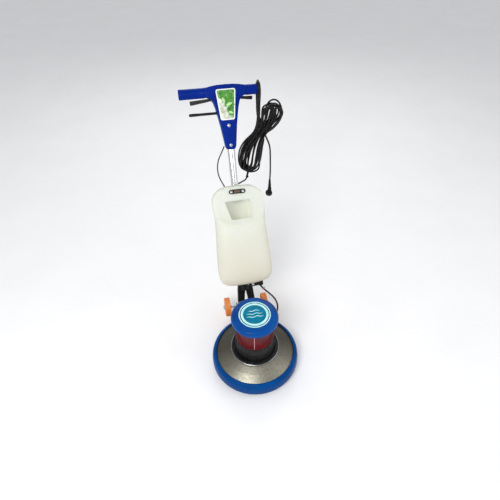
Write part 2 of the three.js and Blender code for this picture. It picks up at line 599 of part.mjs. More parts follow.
function teardrop(radius, point, steps) {
  const points = [];
  for (let i = 0; i <= steps; i += 1) {
    const a = THREE.MathUtils.degToRad(-20 + i * 220 / steps);
    points.push([radius * Math.cos(a), radius * Math.sin(a)]);
  }
  return [...points, ...point];
}
const SADDLE_DROP = 58;
function cordSaddle() {
  const shape = outline(teardrop(GRIP_R + 18, [[-HANK_DEPTH, -SADDLE_DROP], [HANK_DEPTH, -SADDLE_DROP]], 14));
  shape.holes.push(new THREE.Path(teardrop(GRIP_R + 1.5, [[0, -SADDLE_DROP + 12]], 14)
    .map(([a, b]) => new THREE.Vector2(a, b)).reverse()));
  return slabYZ(shape, HANK_X[0], HANK_X[1]).translate(0, GRIP_Y, GRIP_Z);
}
node(deck, 'mains_cord_saddle', cordSaddle(), LOOK.rubber);

// The hank's outline from its top left, clockwise: strands, right-hand loop, waist, lower loop, waist.
const HANK_TOP = GRIP_Z - SADDLE_DROP - GAP;
const HANK_OUTLINE = [
  [HANK_X[1], HANK_TOP - 14], [186, 1000], [195, 1012], [206, 1036], [225, 1057], [256, 1046], [286, 1008],
  [302, 962], [296, 922], [272, 892], [242, 862], [218, 834], [207, 808], [199, 770], [190, 716], [179, 669],
  [165, 625], [146, 602], [128, 606], [112, 620], [94, 622], [72, 640], [59, 676], [52, 716], [54, 760], [70, 808],
  [96, 846], [128, 878], [147, 906], [150, 960], [HANK_X[0], HANK_TOP - 14],
];
function hankShape() {
  const shape = new THREE.Shape();
  shape.moveTo(HANK_X[0], HANK_TOP);
  shape.lineTo(HANK_X[1], HANK_TOP);
  shape.lineTo(...HANK_OUTLINE[0]);
  shape.splineThru(HANK_OUTLINE.slice(1).map(([x, z]) => new THREE.Vector2(x, z)));
  return outline(shape.getSpacedPoints(90).slice(0, -1).map((p) => [p.x, p.y]));
}
node(deck, 'mains_cord_hank', slabXZ(hankShape(), GRIP_Y - HANK_DEPTH, GRIP_Y + HANK_DEPTH), LOOK.rubber);

const LEAD_ROUTE = [
  [217, GRIP_Y, 812], [222.5, GRIP_Y, 802], [229, GRIP_Y, 785], [233.5, GRIP_Y, 762], [236, GRIP_Y, 728],
  [237, GRIP_Y, 690], [238, GRIP_Y, 640], [238.3, GRIP_Y, 600], [237.5, GRIP_Y, 570], [236.3, GRIP_Y, 545.5],
];
node(deck, 'mains_cord_lead', tube(LEAD_ROUTE, CORD_R, 8, 14), LOOK.rubber);

const PLUG_Z = 450;
function plug() {
  const x = 232;
  const sleeve = turned([[0, 472], [10, 472], [9, 487], [5.8, 545], [0, 545]], 16).translate(236, GRIP_Y, 0);
  const body = rodY(20, GRIP_Y - 12, GRIP_Y + 12, x, PLUG_Z, 24);
  const neck = block(-10, 10, -9, 9, PLUG_Z, 476).translate(x + 3, GRIP_Y, 0);
  const pins = [-9.5, 9.5].map((dx) => rodY(2.4, GRIP_Y - 31, GRIP_Y - 8, x + dx, PLUG_Z, 12));
  return join(sleeve, body, neck, ...pins);
}
node(deck, 'mains_plug', plug(), LOOK.rubber);

export default machine;
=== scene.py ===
import json
import math
import random

import bmesh
import bpy
import numpy as np
from mathutils import Matrix, Vector


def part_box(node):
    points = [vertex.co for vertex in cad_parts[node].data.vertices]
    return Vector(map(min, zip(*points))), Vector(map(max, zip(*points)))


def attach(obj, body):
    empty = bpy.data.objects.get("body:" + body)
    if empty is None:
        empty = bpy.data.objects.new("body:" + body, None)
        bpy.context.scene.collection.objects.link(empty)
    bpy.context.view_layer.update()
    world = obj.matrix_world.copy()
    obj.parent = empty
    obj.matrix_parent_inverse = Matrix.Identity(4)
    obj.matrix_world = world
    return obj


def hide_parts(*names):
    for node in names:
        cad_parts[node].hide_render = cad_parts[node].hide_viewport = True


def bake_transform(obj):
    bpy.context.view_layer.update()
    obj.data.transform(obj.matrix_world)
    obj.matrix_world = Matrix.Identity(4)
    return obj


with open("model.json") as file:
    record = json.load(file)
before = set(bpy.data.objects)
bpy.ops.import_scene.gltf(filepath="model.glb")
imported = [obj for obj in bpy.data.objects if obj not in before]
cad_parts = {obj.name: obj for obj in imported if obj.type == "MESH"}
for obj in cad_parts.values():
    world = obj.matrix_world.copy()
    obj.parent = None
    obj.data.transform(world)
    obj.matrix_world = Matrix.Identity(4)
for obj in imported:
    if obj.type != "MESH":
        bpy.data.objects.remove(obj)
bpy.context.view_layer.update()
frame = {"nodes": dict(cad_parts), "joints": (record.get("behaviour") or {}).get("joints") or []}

MM = 0.001
LEAN = math.radians(30)
bumper_low, bumper_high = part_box("bumper_ring")
DECK = Matrix.Translation((0, (bumper_low.y + bumper_high.y) / 2, 0))
PIVOT = next(joint["pos_m"] for joint in frame["joints"] if joint["name"] == "handle_tilt")
HANDLE = Matrix.Translation(PIVOT) @ Matrix.Rotation(-LEAN, 4, "X")


def linked(name, data):
    """An object with this data, in the scene."""
    obj = bpy.data.objects.new(name, data)
    bpy.context.scene.collection.objects.link(obj)
    return obj


# ------------------------ camera
CAMERA_YAW = math.radians(9.5)       # the machine is turned this far from square on
CAMERA_PITCH = math.radians(42.1)    # looking down
CAMERA_ROLL = math.radians(0.6)
CAMERA_AWAY = 1.3345
CAMERA_HEIGHT = 2.0904

camera_data = bpy.data.cameras.new("camera")
camera = linked("camera", camera_data)
camera.location = DECK @ Vector((
    -CAMERA_AWAY * math.sin(CAMERA_YAW), -CAMERA_AWAY * math.cos(CAMERA_YAW), CAMERA_HEIGHT))
camera.rotation_euler = (
    Matrix.Rotation(-CAMERA_YAW, 3, "Z") @ Matrix.Rotation(math.pi / 2 - CAMERA_PITCH, 3, "X")
    @ Matrix.Rotation(-CAMERA_ROLL, 3, "Z")).to_euler()
camera_data.sensor_width = 36
camera_data.lens = 32.6
camera_data.shift_x = -0.0076
camera_data.shift_y = -0.032
bpy.context.scene.camera = camera


# ------------------------ materials
class Nodes:
    """A material's node tree, with short calls for the nodes that every finish here uses."""

    def __init__(self, name):
        self.material = bpy.data.materials.new(name)
        self.material.use_nodes = True
        self.tree = self.material.node_tree
        self.shader = self.tree.nodes["Principled BSDF"]
        self.place = self.add("ShaderNodeTexCoord").outputs["Object"]

    def add(self, kind, inputs=None, **settings):
        """A new node. Each of its inputs is given as a value, or as the output that feeds it."""
        made = self.tree.nodes.new(kind)
        for key, value in settings.items():
            setattr(made, key, value)
        for key, value in (inputs or {}).items():
            self.feed(made.inputs[key], value)
        return made

    def feed(self, socket, value):
        if isinstance(value, bpy.types.NodeSocket):
            self.tree.links.new(value, socket)
        else:
            socket.default_value = (*value, 1) if socket.type == "RGBA" else value

    def noise(self, scale, detail=4.0, rough=0.55, stretch=None, distortion=0.0):
        place = self.place
        if stretch:
            place = self.add("ShaderNodeMapping", {"Scale": stretch, "Vector": place}).outputs["Vector"]
        inputs = {"Vector": place, "Scale": scale, "Detail": detail, "Roughness": rough}
        return self.add("ShaderNodeTexNoise", {**inputs, "Distortion": distortion}).outputs["Fac"]

    def cells(self, scale, output="Color"):
        return self.add("ShaderNodeTexVoronoi", {"Scale": scale, "Vector": self.place}).outputs[output]

    def along(self, axis):
        return self.add("ShaderNodeSeparateXYZ", {"Vector": self.place}).outputs[axis]

    def plus(self, a, b):
        return self.add("ShaderNodeMath", {0: a, 1: b}, operation="ADD").outputs[0]

    def ramp(self, factor, *stops):
        node = self.add("ShaderNodeValToRGB", {"Fac": factor})
        while len(node.color_ramp.elements) < len(stops):
            node.color_ramp.elements.new(0.5)
        for element, (at, color) in zip(node.color_ramp.elements, stops):
            element.position = at
            element.color = (*color, 1)
        return node.outputs["Color"]

    def tones(self, scale, dark, light, start=0.3, end=0.7, detail=6):
        """Two tones that drift into each other over the surface."""
        return self.ramp(self.noise(scale, detail), (start, dark), (end, light))

    def spread(self, factor, low, high, start=0.3, end=0.7):
        inputs = {"Value": factor, "From Min": start, "From Max": end, "To Min": low, "To Max": high}
        return self.add("ShaderNodeMapRange", inputs).outputs["Result"]

    def mix(self, factor, a, b, blend="MIX"):
        node = self.add("ShaderNodeMix", data_type="RGBA", blend_type=blend)
        for key, value in (("Factor", factor), ("A", a), ("B", b)):
            self.feed(next(s for s in node.inputs if s.name == key and s.enabled), value)
        return next(s for s in node.outputs if s.enabled)

    def bump(self, height, strength, distance, **before):
        inputs = {"Height": height, "Strength": strength, "Distance": distance, **before}
        normal = self.add("ShaderNodeBump", inputs).outputs["Normal"]
        self.feed(self.shader.inputs["Normal"], normal)
        return normal

    def surface(self, color, roughness, **others):
        """Feeds the shader's colour, roughness and other inputs, and returns the material."""
        for key, value in {"Base_Color": color, "Roughness": roughness, **others}.items():
            self.feed(self.shader.inputs[key.replace("_", " ")], value)
        return self.material


def moulded(name, dark, light, rough, grain=900, depth=0.06, tone=9, coat=0.0, shine=0.3):
    """Moulded plastic, rubber or paint: two drifting tones, uneven gloss and a fine grain."""
    m = Nodes(name)
    m.bump(m.noise(grain, 3), depth, 0.0006)
    return m.surface(m.tones(tone, dark, light, 0.3, 0.72), m.spread(m.noise(tone * 5, 5), *rough),
                     Coat_Weight=coat, Coat_Roughness=0.08, IOR=1.48, Specular_IOR_Level=shine)


def painted(name, dark, light, rough, wear_and_painted_shade, wear):
    """Paint on metal with an orange-peel surface, worn through along its sharp edges."""
    m = Nodes(name)
    edge = m.add("ShaderNodeNewGeometry").outputs["Pointiness"]
    mask = m.spread(m.mix(0.35, edge, m.noise(180, 5), "LINEAR_LIGHT"), 0, wear, 0.66, 0.76)
    m.bump(m.noise(420, 3), 0.12, 0.0006)
    return m.surface(m.mix(mask, m.tones(14, dark, light), wear_and_painted_shade), m.spread(m.noise(60, 5), *rough),
                     Coat_Weight=0.04, Coat_Roughness=0.12, IOR=1.5, Specular_IOR_Level=0.22)


def metal(name, dark, light, rough, brushed=(1, 1, 1), scale=300, depth=0.08):
    """Bare metal with machining or brushing marks, and a little stain."""
    m = Nodes(name)
    marks = m.noise(scale, 6, stretch=brushed)
    m.bump(marks, depth, 0.0003)
    return m.surface(m.tones(20, dark, light, 0.28, 0.62), m.spread(marks, *rough), Metallic=1.0)


def galvanised():
    """Zinc-coated steel: small angular spangles in grey, straw and a trace of green, with painted shade darkening
    it towards the back.
    """
    m = Nodes("galvanised")
    straw, pale, green = (0.19, 0.16, 0.10), (0.30, 0.28, 0.23), (0.28, 0.30, 0.23)
    tint = m.ramp(m.noise(55, 5, 0.7), (0.3, straw), (0.5, pale), (0.72, green))
    color = m.mix(0.55, tint, m.mix(0.5, m.cells(420), m.cells(1100)), "OVERLAY")
    grey = m.mix(0.5, color, m.tones(260, (0.11, 0.10, 0.075), (0.42, 0.41, 0.34), detail=3))
    # Painted shade: towards the back the colour runs into dark brown, in place of the darker reflections there.
    wear_and_painted_shade = m.mix(m.spread(m.along("Y"), 0.0, 0.8, -0.46, -0.30), grey, (0.05, 0.045, 0.035))
    m.bump(m.cells(520, "Distance"), 0.25, 0.0005)
    return m.surface(wear_and_painted_shade, m.spread(m.noise(330, 4), 0.28, 0.5), Metallic=0.85)


def milky_tank():
    """Blow-moulded polyethylene: milky, with light coming through it, and warmer low down."""
    m = Nodes("tank_polyethylene")
    warm = m.tones(5, (0.89, 0.85, 0.74), (0.95, 0.92, 0.84), detail=5)
    clear = m.tones(6, (0.92, 0.95, 0.86), (0.97, 0.98, 0.94), detail=5)
    color = m.mix(m.spread(m.along("Z"), 0, 1, 0.36, 0.66), warm, clear)
    m.bump(m.noise(38, 4), 0.1, 0.002, Normal=m.bump(m.noise(700, 2), 0.05, 0.0005))
    through = m.add("ShaderNodeBsdfTranslucent", {"Color": color}).outputs[0]
    both = m.add("ShaderNodeMixShader", {0: 0.48, 1: m.shader.outputs[0], 2: through}).outputs[0]
    m.feed(m.tree.nodes["Material Output"].inputs["Surface"], both)
    return m.surface(color, m.spread(m.noise(30, 5), 0.32, 0.46), Subsurface_Weight=0.35,
                     Subsurface_Scale=0.006, Subsurface_Radius=(1.0, 0.9, 0.7), IOR=1.5)


def label_print():
    """A printed label: white at the lower left, running into mottled leaf greens at the upper right."""
    m = Nodes("label_print")
    across = m.spread(m.along("X"), -0.35, 0.42, -0.045, 0.045)
    upward = m.spread(m.along("Z"), -0.25, 0.45, 1.0, 1.12)
    ragged = m.plus(m.plus(across, upward), m.noise(38, 4, distortion=0.6))
    dark, leaf_green, pale = (0.012, 0.11, 0.012), (0.05, 0.25, 0.025), (0.26, 0.50, 0.13)
    greens = m.ramp(m.noise(70, 5, distortion=0.8), (0.3, dark), (0.5, leaf_green), (0.7, pale))
    paper = m.tones(45, (0.42, 0.46, 0.30), (0.80, 0.84, 0.76), end=0.6, detail=3)
    m.bump(m.noise(600, 2), 0.04, 0.0004)
    return m.surface(m.mix(m.spread(ragged, 0, 1, 0.42, 0.62), paper, greens),
                     m.spread(m.noise(90, 4), 0.2, 0.32), Coat_Weight=0.5, Coat_Roughness=0.12)


BLACK = (0.004, 0.004, 0.0045)
SOOT = (0.013, 0.013, 0.014)
LOOKS = {
    "cap_blue": moulded(
        "gloss_blue", (0.0006, 0.036, 0.19), (0.0015, 0.078, 0.33), (0.12, 0.2), 500, 0.05, coat=0.04,
        shine=0.12),
    "head_blue": moulded(
        "head_blue", (0.0006, 0.012, 0.16), (0.001, 0.024, 0.27), (0.26, 0.38), 1400, 0.1, shine=0.07),
    "bumper_blue": moulded(
        "bumper_blue", (0.0005, 0.038, 0.17), (0.001, 0.070, 0.28), (0.24, 0.36), 800, 0.12, shine=0.06),
    "black_paint": painted("black_paint", BLACK, (0.014, 0.014, 0.015), (0.24, 0.4), (0.12, 0.11, 0.1), 0.35),
    "black_plastic": moulded("black_plastic", BLACK, SOOT, (0.38, 0.55), 1200, 0.15, shine=0.2),
    "cord_rubber": moulded(
        "cord_rubber", (0.002, 0.002, 0.002), (0.008, 0.008, 0.007), (0.24, 0.4), 1500, 0.12, shine=0.28),
    "deck_metal": galvanised(),
    "steel": metal("steel", (0.42, 0.43, 0.45), (0.66, 0.68, 0.70), (0.22, 0.4)),
    "chrome": metal("chrome", (0.72, 0.73, 0.75), (0.88, 0.89, 0.90), (0.07, 0.13), (40, 40, 1), 60, 0.004),
    "motor_red": painted("motor_red", (0.07, 0.0015, 0.003), (0.15, 0.003, 0.006), (0.12, 0.22),
                         (0.4, 0.25, 0.23), 0.12),
    "copper": metal("copper", (0.36, 0.13, 0.05), (0.62, 0.27, 0.12), (0.25, 0.42), (1, 1, 60), 40, 0.5),
    "lamination": metal("lamination", (0.12, 0.12, 0.13), (0.3, 0.3, 0.31), (0.4, 0.6), (1, 1, 90), 30, 0.6),
    "tank_white": milky_tank(),
    "wheel_orange": moulded("wheel_orange", (0.68, 0.2, 0.04), (0.85, 0.3, 0.08), (0.42, 0.58), 700, 0.2, 30),
    "bristle": moulded("bristle", (0.60, 0.60, 0.54), (0.86, 0.86, 0.80), (0.45, 0.6), 1500, 0.2, 60),
    "block_blue": moulded("block_blue", (0.012, 0.03, 0.20), (0.02, 0.05, 0.30), (0.35, 0.5), 700, 0.15),
    "hose_dark": moulded("hose_dark", (0.016, 0.011, 0.010), (0.05, 0.036, 0.032), (0.25, 0.4), 900, 0.1,
                         coat=0.3),
}
LABEL = label_print()
PAPER = moulded("label_paper", (0.82, 0.85, 0.80), (0.92, 0.94, 0.91), (0.2, 0.3), 900, 0.04, 30)
LEAF = moulded("leaf_green", (0.015, 0.15, 0.012), (0.12, 0.42, 0.05), (0.22, 0.34), 900, 0.05, 60)
LEAF_PALE = moulded("leaf_pale", (0.30, 0.66, 0.16), (0.72, 0.90, 0.48), (0.22, 0.34), 900, 0.05, 70)
TEAL = moulded("badge_teal", (0.002, 0.13, 0.24), (0.005, 0.23, 0.36), (0.16, 0.26), 900, 0.04, 35, shine=0.1)
MINT = moulded("badge_mint", (0.34, 0.78, 0.74), (0.68, 0.93, 0.88), (0.2, 0.3), 900, 0.04, 40, coat=0.4)
BRONZE = moulded("plate_brown", (0.10, 0.06, 0.035), (0.20, 0.12, 0.07), (0.35, 0.5), 700, 0.15, 60)
# The weld seam strip is real; its pale colour is a painted highlight along it.
SEAM_HIGHLIGHT = moulded("seam_painted_highlight", (0.45, 0.20, 0.20), (0.72, 0.46, 0.44), (0.2, 0.3), 700, 0.1, 60)


# ------------------------ shapes: (points, faces) in millimetres
def angles(count, start=0.0):
    return [start + 2 * math.pi * i / count for i in range(count)]


def mirrored(points, axis=0):
    """The points in reverse order, with one coordinate's sign turned."""
    return [tuple(-v if k == axis else v for k, v in enumerate(p)) for p in reversed(points)]


def loft(rings, cap=True):
    """Rings of equal point count joined into a skin, its ends closed by the first and last ring's faces."""
    n = len(rings[0])
    points = [tuple(p) for ring in rings for p in ring]
    faces = []
    for k in range(len(rings) - 1):
        for i in range(n):
            a, b = k * n + i, k * n + (i + 1) % n
            faces.append((a, b, b + n, a + n))
    if cap:
        faces.append(tuple(reversed(range(n))))
        faces.append(tuple(range((len(rings) - 1) * n, len(rings) * n)))
    return points, faces


def rounded(corners, steps=5):
    """A closed outline whose corners are (a, b, radius), or (a, b) where they stay sharp."""
    made = []
    for i, corner in enumerate(corners):
        here = Vector(corner[:2])
        radius = corner[2] if len(corner) > 2 else 0
        before = Vector(corners[i - 1][:2]) - here
        after = Vector(corners[(i + 1) % len(corners)][:2]) - here
        half = before.angle(after) / 2 if before.length and after.length else math.pi / 2
        cut = min(radius / max(math.tan(half), 0.05), before.length * 0.48, after.length * 0.48)
        if cut < 0.05:
            made.append(tuple(here))
            continue
        start, end = here + before.normalized() * cut, here + after.normalized() * cut
        for k in range(steps + 1):
            t = k / steps
            made.append(tuple(start * (1 - t) ** 2 + here * 2 * t * (1 - t) + end * t * t))
    return made


def lathe(profile, segments=96):
    """A closed profile of (radius, height[, corner radius]) turned about Z; points on the axis become one."""
    points, rings = [], []
    for r, z in rounded(profile):
        if r < 1e-6:
            rings.append([len(points)] * segments)
            points.append((0, 0, z))
        else:
            rings.append([len(points) + i for i in range(segments)])
            points += [(r * math.cos(a), r * math.sin(a), z) for a in angles(segments)]
    faces = []
    for k, ring in enumerate(rings):
        above = rings[(k + 1) % len(rings)]
        for i in range(segments):
            j = (i + 1) % segments
            corners = list(dict.fromkeys((ring[i], ring[j], above[j], above[i])))
            if len(corners) > 2:
                faces.append(tuple(corners))
    return points, faces


def tube(inner, outer, low, high, radii=(0, 0, 0, 0), segments=40):
    """A ring, or a disc where inner is 0; radii round its edges: low inner, low outer, high outer, high inner."""
    corners = ((inner, low), (outer, low), (outer, high), (inner, high))
    return lathe([(*corner, radius) for corner, radius in zip(corners, radii)], segments)


def harvest(bm):
    """A shape from a bmesh, which is freed."""
    bmesh.ops.recalc_face_normals(bm, faces=bm.faces)
    bm.verts.index_update()
    shape = [tuple(v.co) for v in bm.verts], [tuple(v.index for v in f.verts) for f in bm.faces]
    bm.free()
    return shape


def eased(bm, edges, width, segments):
    """Rounds edges over."""
    bmesh.ops.bevel(bm, geom=edges, offset=width, segments=segments, profile=0.5, affect="EDGES")


def prism(outline, low, high, bevel=0.0, segments=3):
    """An outline of (x, z) thickened along Y from low to high, its edges rounded."""
    bm = bmesh.new()
    front = [bm.verts.new((x, low, z)) for x, z in outline]
    back = [bm.verts.new((x, high, z)) for x, z in outline]
    rims = [bm.faces.new(front), bm.faces.new(list(reversed(back)))]
    for i in range(len(outline)):
        bm.faces.new((front[i - 1], front[i], back[i], back[i - 1]))
    if bevel:
        eased(bm, [e for face in rims for e in face.edges], bevel, segments)
    return harvest(bm)


def brick(x0, x1, y0, y1, z0, z1, bevel=1.0, segments=3):
    """A box with all its edges rounded."""
    bm = bmesh.new()
    bmesh.ops.create_cube(bm, size=1)
    for v in bm.verts:
        v.co = Vector(((x0 + x1) / 2 + v.co.x * (x1 - x0), (y0 + y1) / 2 + v.co.y * (y1 - y0),
                       (z0 + z1) / 2 + v.co.z * (z1 - z0)))
    eased(bm, bm.edges[:], bevel, segments)
    return harvest(bm)


def between(t, s, start, end, j, k):
    """The value at s on the line from start, at t[j], to end, at t[k]."""
    return (start * (t[k] - s) + end * (s - t[j])) / (t[k] - t[j])


def smooth_path(points, step):
    """Points about step apart on a smooth curve through the given ones."""
    p = np.array(points, float)
    ends = np.vstack([2 * p[0] - p[1], p, 2 * p[-1] - p[-2]])
    made = []
    for i in range(len(p) - 1):
        a, b, c, d = ends[i:i + 4]
        t = np.cumsum([0] + [max(np.linalg.norm(v), 1e-6) ** 0.5 for v in (b - a, c - b, d - c)])
        count = max(1, round(float(np.linalg.norm(c - b)) / step))
        for s in t[1] + (t[2] - t[1]) * np.arange(count) / count:
            ab, bc, cd = between(t, s, a, b, 0, 1), between(t, s, b, c, 1, 2), between(t, s, c, d, 2, 3)
            made.append(between(t, s, between(t, s, ab, bc, 0, 2), between(t, s, bc, cd, 1, 3), 1, 2))
    return [Vector(v) for v in (*made, p[-1])]


def sweep(path, radius, sides=16, squash=1.0):
    """A round bar along a path; radius is a number or a function of the share of the path covered."""
    path = [Vector(p) for p in path]
    side = (path[1] - path[0]).orthogonal().normalized()
    rings = []
    for i, point in enumerate(path):
        along = (path[min(i + 1, len(path) - 1)] - path[max(i - 1, 0)]).normalized()
        side = (side - along * side.dot(along)).normalized()
        up = along.cross(side) * squash
        r = radius(i / (len(path) - 1)) if callable(radius) else radius
        rings.append([point + (side * math.cos(a) + up * math.sin(a)) * r for a in angles(sides)])
    return loft(rings)


def moved(shape, matrix):
    return [tuple(matrix @ Vector(p)) for p in shape[0]], shape[1]


def together(*shapes):
    points, faces = [], []
    for p, f in shapes:
        faces += [tuple(i + len(points) for i in face) for face in f]
        points += p
    return points, faces


def around(shape, count, start=0.0):
    return together(*(moved(shape, Matrix.Rotation(a, 4, "Z")) for a in angles(count, start)))


def shift(x=0, y=0, z=0):
    return Matrix.Translation((x, y, z))


def turn(degrees, axis):
    return Matrix.Rotation(math.radians(degrees), 4, axis)


def hexagon(radius, z0, z1, bevel=0.8):
    corners = [(radius * math.cos(a), radius * math.sin(a)) for a in angles(6)]
    return moved(prism(corners, -z1, -z0, bevel, 2), turn(-90, "X"))


def cross_screw(radius, dome):
    """A domed head with a cross recess, standing on z = 0."""
    rings = []
    for k in range(13):
        r = radius * (1 - k / 12.5)
        z = dome * math.sqrt(max(0.0, 1 - (r / radius) ** 2 * 0.96))
        ring = []
        for x, y in ((r * math.cos(a), r * math.sin(a)) for a in angles(48)):
            arm = min(abs(x), abs(y)) < radius * 0.13 and max(abs(x), abs(y)) < radius * 0.62
            ring.append((x, y, z - (dome * 0.75 if arm else 0)))
        rings.append(ring)
    return loft([[(x, y, 0) for x, y, _ in rings[0]], *rings])


# ------------------------ objects
def adopt(obj, body, look, replaces=(), crease=38):
    """Shading, finish and the body that the object rides on."""
    obj.data.materials.clear()
    obj.data.materials.append(LOOKS[look] if isinstance(look, str) else look)
    if obj.type == "MESH":
        obj.data.shade_smooth()
        obj.data.set_sharp_from_angle(angle=math.radians(crease))
    if body is not None:
        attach(obj, body)
    if replaces:
        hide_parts(*replaces)
    return obj


def raw_object(name, shape, at):
    """A mesh object whose points are already in the row frame, in metres."""
    mesh = bpy.data.meshes.new(name)
    mesh.from_pydata([tuple(at @ (Vector(p) * MM)) for p in shape[0]], [], shape[1])
    bm = bmesh.new()
    bm.from_mesh(mesh)
    bmesh.ops.remove_doubles(bm, verts=bm.verts, dist=1e-6)
    bmesh.ops.recalc_face_normals(bm, faces=bm.faces)
    bm.to_mesh(mesh)
    bm.free()
    return linked(name, mesh)


def on_deck(name, look, replaces, *shapes, at=DECK, body="deck", slot=None, crease=38):
    """A piece made of shapes in the deck's frame, in place of the CAD nodes that it replaces."""
    return adopt(raw_object(name, together(*shapes), at), body, look, replaces, crease)


def on_handle(name, look, replaces, *shapes, at=HANDLE, body="handle", slot=None, crease=38):
    """The same in the handle's frame."""
    return on_deck(name, look, replaces, *shapes, at=at, body=body, slot=slot, crease=crease)


def applied(obj):
    """The object with its modifiers made final."""
    mesh = bpy.data.meshes.new_from_object(obj.evaluated_get(bpy.context.evaluated_depsgraph_get()))
    obj.modifiers.clear()
    obj.data = mesh
    return obj


def carve(obj, at, *shapes):
    """Cuts closed shapes out of obj."""
    tools = [raw_object("tool", shape, at) for shape in shapes]
    for tool in tools:
        cut = obj.modifiers.new("cut", "BOOLEAN")
        cut.operation = "DIFFERENCE"
        cut.solver = "EXACT"
        cut.object = tool
    bpy.context.view_layer.update()
    applied(obj)
    for tool in tools:
        bpy.data.objects.remove(tool)
    return obj


# ------------------------ cords
CORD_D, CABLE_D, HOSE_D = 9.0, 6.0, 9.0
GRIP_Y = 824.0                       # the grips' axis, in the deck's frame
GRIP_Z = 1107.9
TAIL_ROUTE = [
    (15.9, 626.8, 679), (19, 634.5, 674.6), (26, 648, 667), (38, 670, 655), (52, 700, 638), (66, 730, 623),
    (76, 750, 610), (82.5, 764, 604), (89, 778, 600), (95, 791, 597.8), (100, 805, 599), (103.5, 818, 604),
    (106.5, 829, 613), (108, 836, 626), (109, 839.5, 642), (110, 840, 662), (112, 840, 686),
]
LEAD_ROUTE = [
    (212, 838, 826), (217, 832, 813), (222.5, 827, 801), (229, 824, 785), (233.5, 824, 762), (236, 824, 728),
    (237, 824, 690), (238, 824, 640), (238.3, 824, 600), (237.5, 824, 570), (236.3, 824, 543),
]
CABLE_ROUTE = [                      # in the handle's frame
    (-32.5, -1, 892), (-39, -1, 880), (-53, -3, 856), (-68, -4, 829), (-77, -5, 798), (-79, -5, 768),
    (-74, -5, 738), (-64, -5, 712), (-52, -5, 686), (-42, -4, 658), (-35, -2, 626), (-32, 0, 590),
    (-31, 0, 520), (-31, 0, 430), (-31, 0, 340), (-31, 0, 280), (-31, -2, 248), (-32, -6, 222),
    (-32.5, -14, 202), (-31, -25, 187.5), (-27, -38, 175.5), (-18, -51, 168), (-3, -60, 165),
    (16.6, -62, 165),
]
HOSE_ROUTE = [
    (84.8, 261.8, 258.1), (90.5, 257.8, 251), (105, 250, 237), (124, 240.5, 219), (142, 230.5, 199.5),
    (155, 219.5, 178.5), (160.5, 208.5, 158.5), (160.3, 198.8, 140.5), (156, 191.5, 125.5),
    (149.5, 183, 114.5), (141.6, 172.9, 108.3), (131.9, 160.8, 106),
]
# One turn of the hank as (x, z), its outermost and its innermost strand: up the left of the lower lobe from
# its bottom, round the upper loop, and down the lower lobe's right.
LOWER_LEFT = [
    [(88, 627), (67, 650), (57, 684), (56, 724), (61, 764), (78, 804), (106, 840), (136, 868)],
    [(100, 641), (89, 664), (90.5, 692), (101, 726), (112, 762), (130, 799), (152, 832), (172, 856)],
]
UPPER_LEFT = [
    [(176, 902), (192, 938), (202, 972), (209, 1002), (219, 1026), (236, 1041)],
    [(192, 884), (206, 913), (216, 944), (219.5, 978), (228, 1003), (249, 1013)],
]
UPPER_RIGHT = [
    [(259, 1042), (280, 1022), (293, 990), (297, 954), (289, 922), (267, 893), (241, 867)],
    [(271, 1004), (279.5, 983), (278, 962), (269, 942), (257, 921), (238, 898), (218, 878)],
]
LOWER_RIGHT = [
    [(217, 842), (204, 808), (196, 770), (189, 722), (182, 680), (169, 644), (145, 625)],
    [(196, 850), (181, 820), (169, 784), (161, 745), (156, 708), (154, 672), (144, 642)],
]
# Turns laid behind and before the nested ones: depth, and shift in the lower lobe and in the upper loop.
LAID_BACK = [(20, (26, -10), (-16, 6)), (15, (8, -4), (22, -6)), (17, (-18, 2), (-36, 0))]
LAID_FRONT = [
    (-15, (22, -10), (-26, 6)), (-19, (-12, 2), (20, -6)), (-15, (-24, 6), (-42, 0)),
    (-19, (-30, 12), (-34, 4))]
NESTED = [1, 0, 2]                   # steps from the innermost strand, in the order they are wound
ROW_DEPTH = 5.2                      # nested strands lie in two rows, this far behind and before the middle
SADDLE = [(163.0, 0), (172.0, 0), (167.5, 8)]        # x over the grip, and how far it lies on the others
OVER_R = 33                          # radius of a strand's bend over the grip
OVER_FRONT = [                       # up the front to the grip's top, as (y, z) from the grip's axis
    (-14, -112), (-14.5, -84), (-19, -60), (-26, -36), (-31.5, -12), (-31, 8), (-25, 22), (-14, 31.5)]
OVER_GRIP = [*OVER_FRONT, (0, 35), *mirrored(OVER_FRONT)]
DRIFT = random.Random(7)


def strand(pair, inward, depths, shifts=((0, 0), (0, 0))):
    """A strand between the outermost and the innermost, its depth and its sideways shift changing evenly."""
    last = len(pair[0]) - 1
    points = []
    for i, (a, b) in enumerate(zip(*pair)):
        share = i / last
        x, z = ((1 - inward) * a[k] + inward * b[k] + (1 - share) * shifts[0][k] + share * shifts[1][k]
                + DRIFT.uniform(-0.5, 0.5) for k in (0, 1))
        points.append((x, GRIP_Y + (1 - share) * depths[0] + share * depths[1], z))
    return points


def full_turn(lower_in, upper_in, depth, lower=(0, 0), upper=(0, 0)):
    """Up the left, round the upper loop and down the right, at one depth."""
    waist = tuple((a + b) * 0.3 for a, b in zip(lower, upper))
    parts = (
        (LOWER_LEFT, lower_in, lower, waist), (UPPER_LEFT, upper_in, waist, upper),
        (UPPER_RIGHT, upper_in, upper, waist), (LOWER_RIGHT, lower_in, waist, lower))
    level = (depth, depth)
    return [point for pair, inward, *shifts in parts for point in strand(pair, inward, level, shifts)]


def saddle_turn(inward, depth, x, lift, last):
    """Up in front of the waist, over the grip, and down behind the waist."""
    over = [(x, GRIP_Y + y * (1 + lift / OVER_R), GRIP_Z + z * (1 + max(0, lift * z / OVER_R ** 2)))
            for y, z in OVER_GRIP]
    down = [] if last else strand(LOWER_RIGHT, inward, (24, depth))[1:]
    up = strand(LOWER_LEFT, inward, (depth, -14))
    return [*up, (x - 10, GRIP_Y - 14, 902), (x - 2, GRIP_Y - 14, 948), *over,
            (x + 4, GRIP_Y + 18, 948), (x + 16, GRIP_Y + 24, 900), *down]


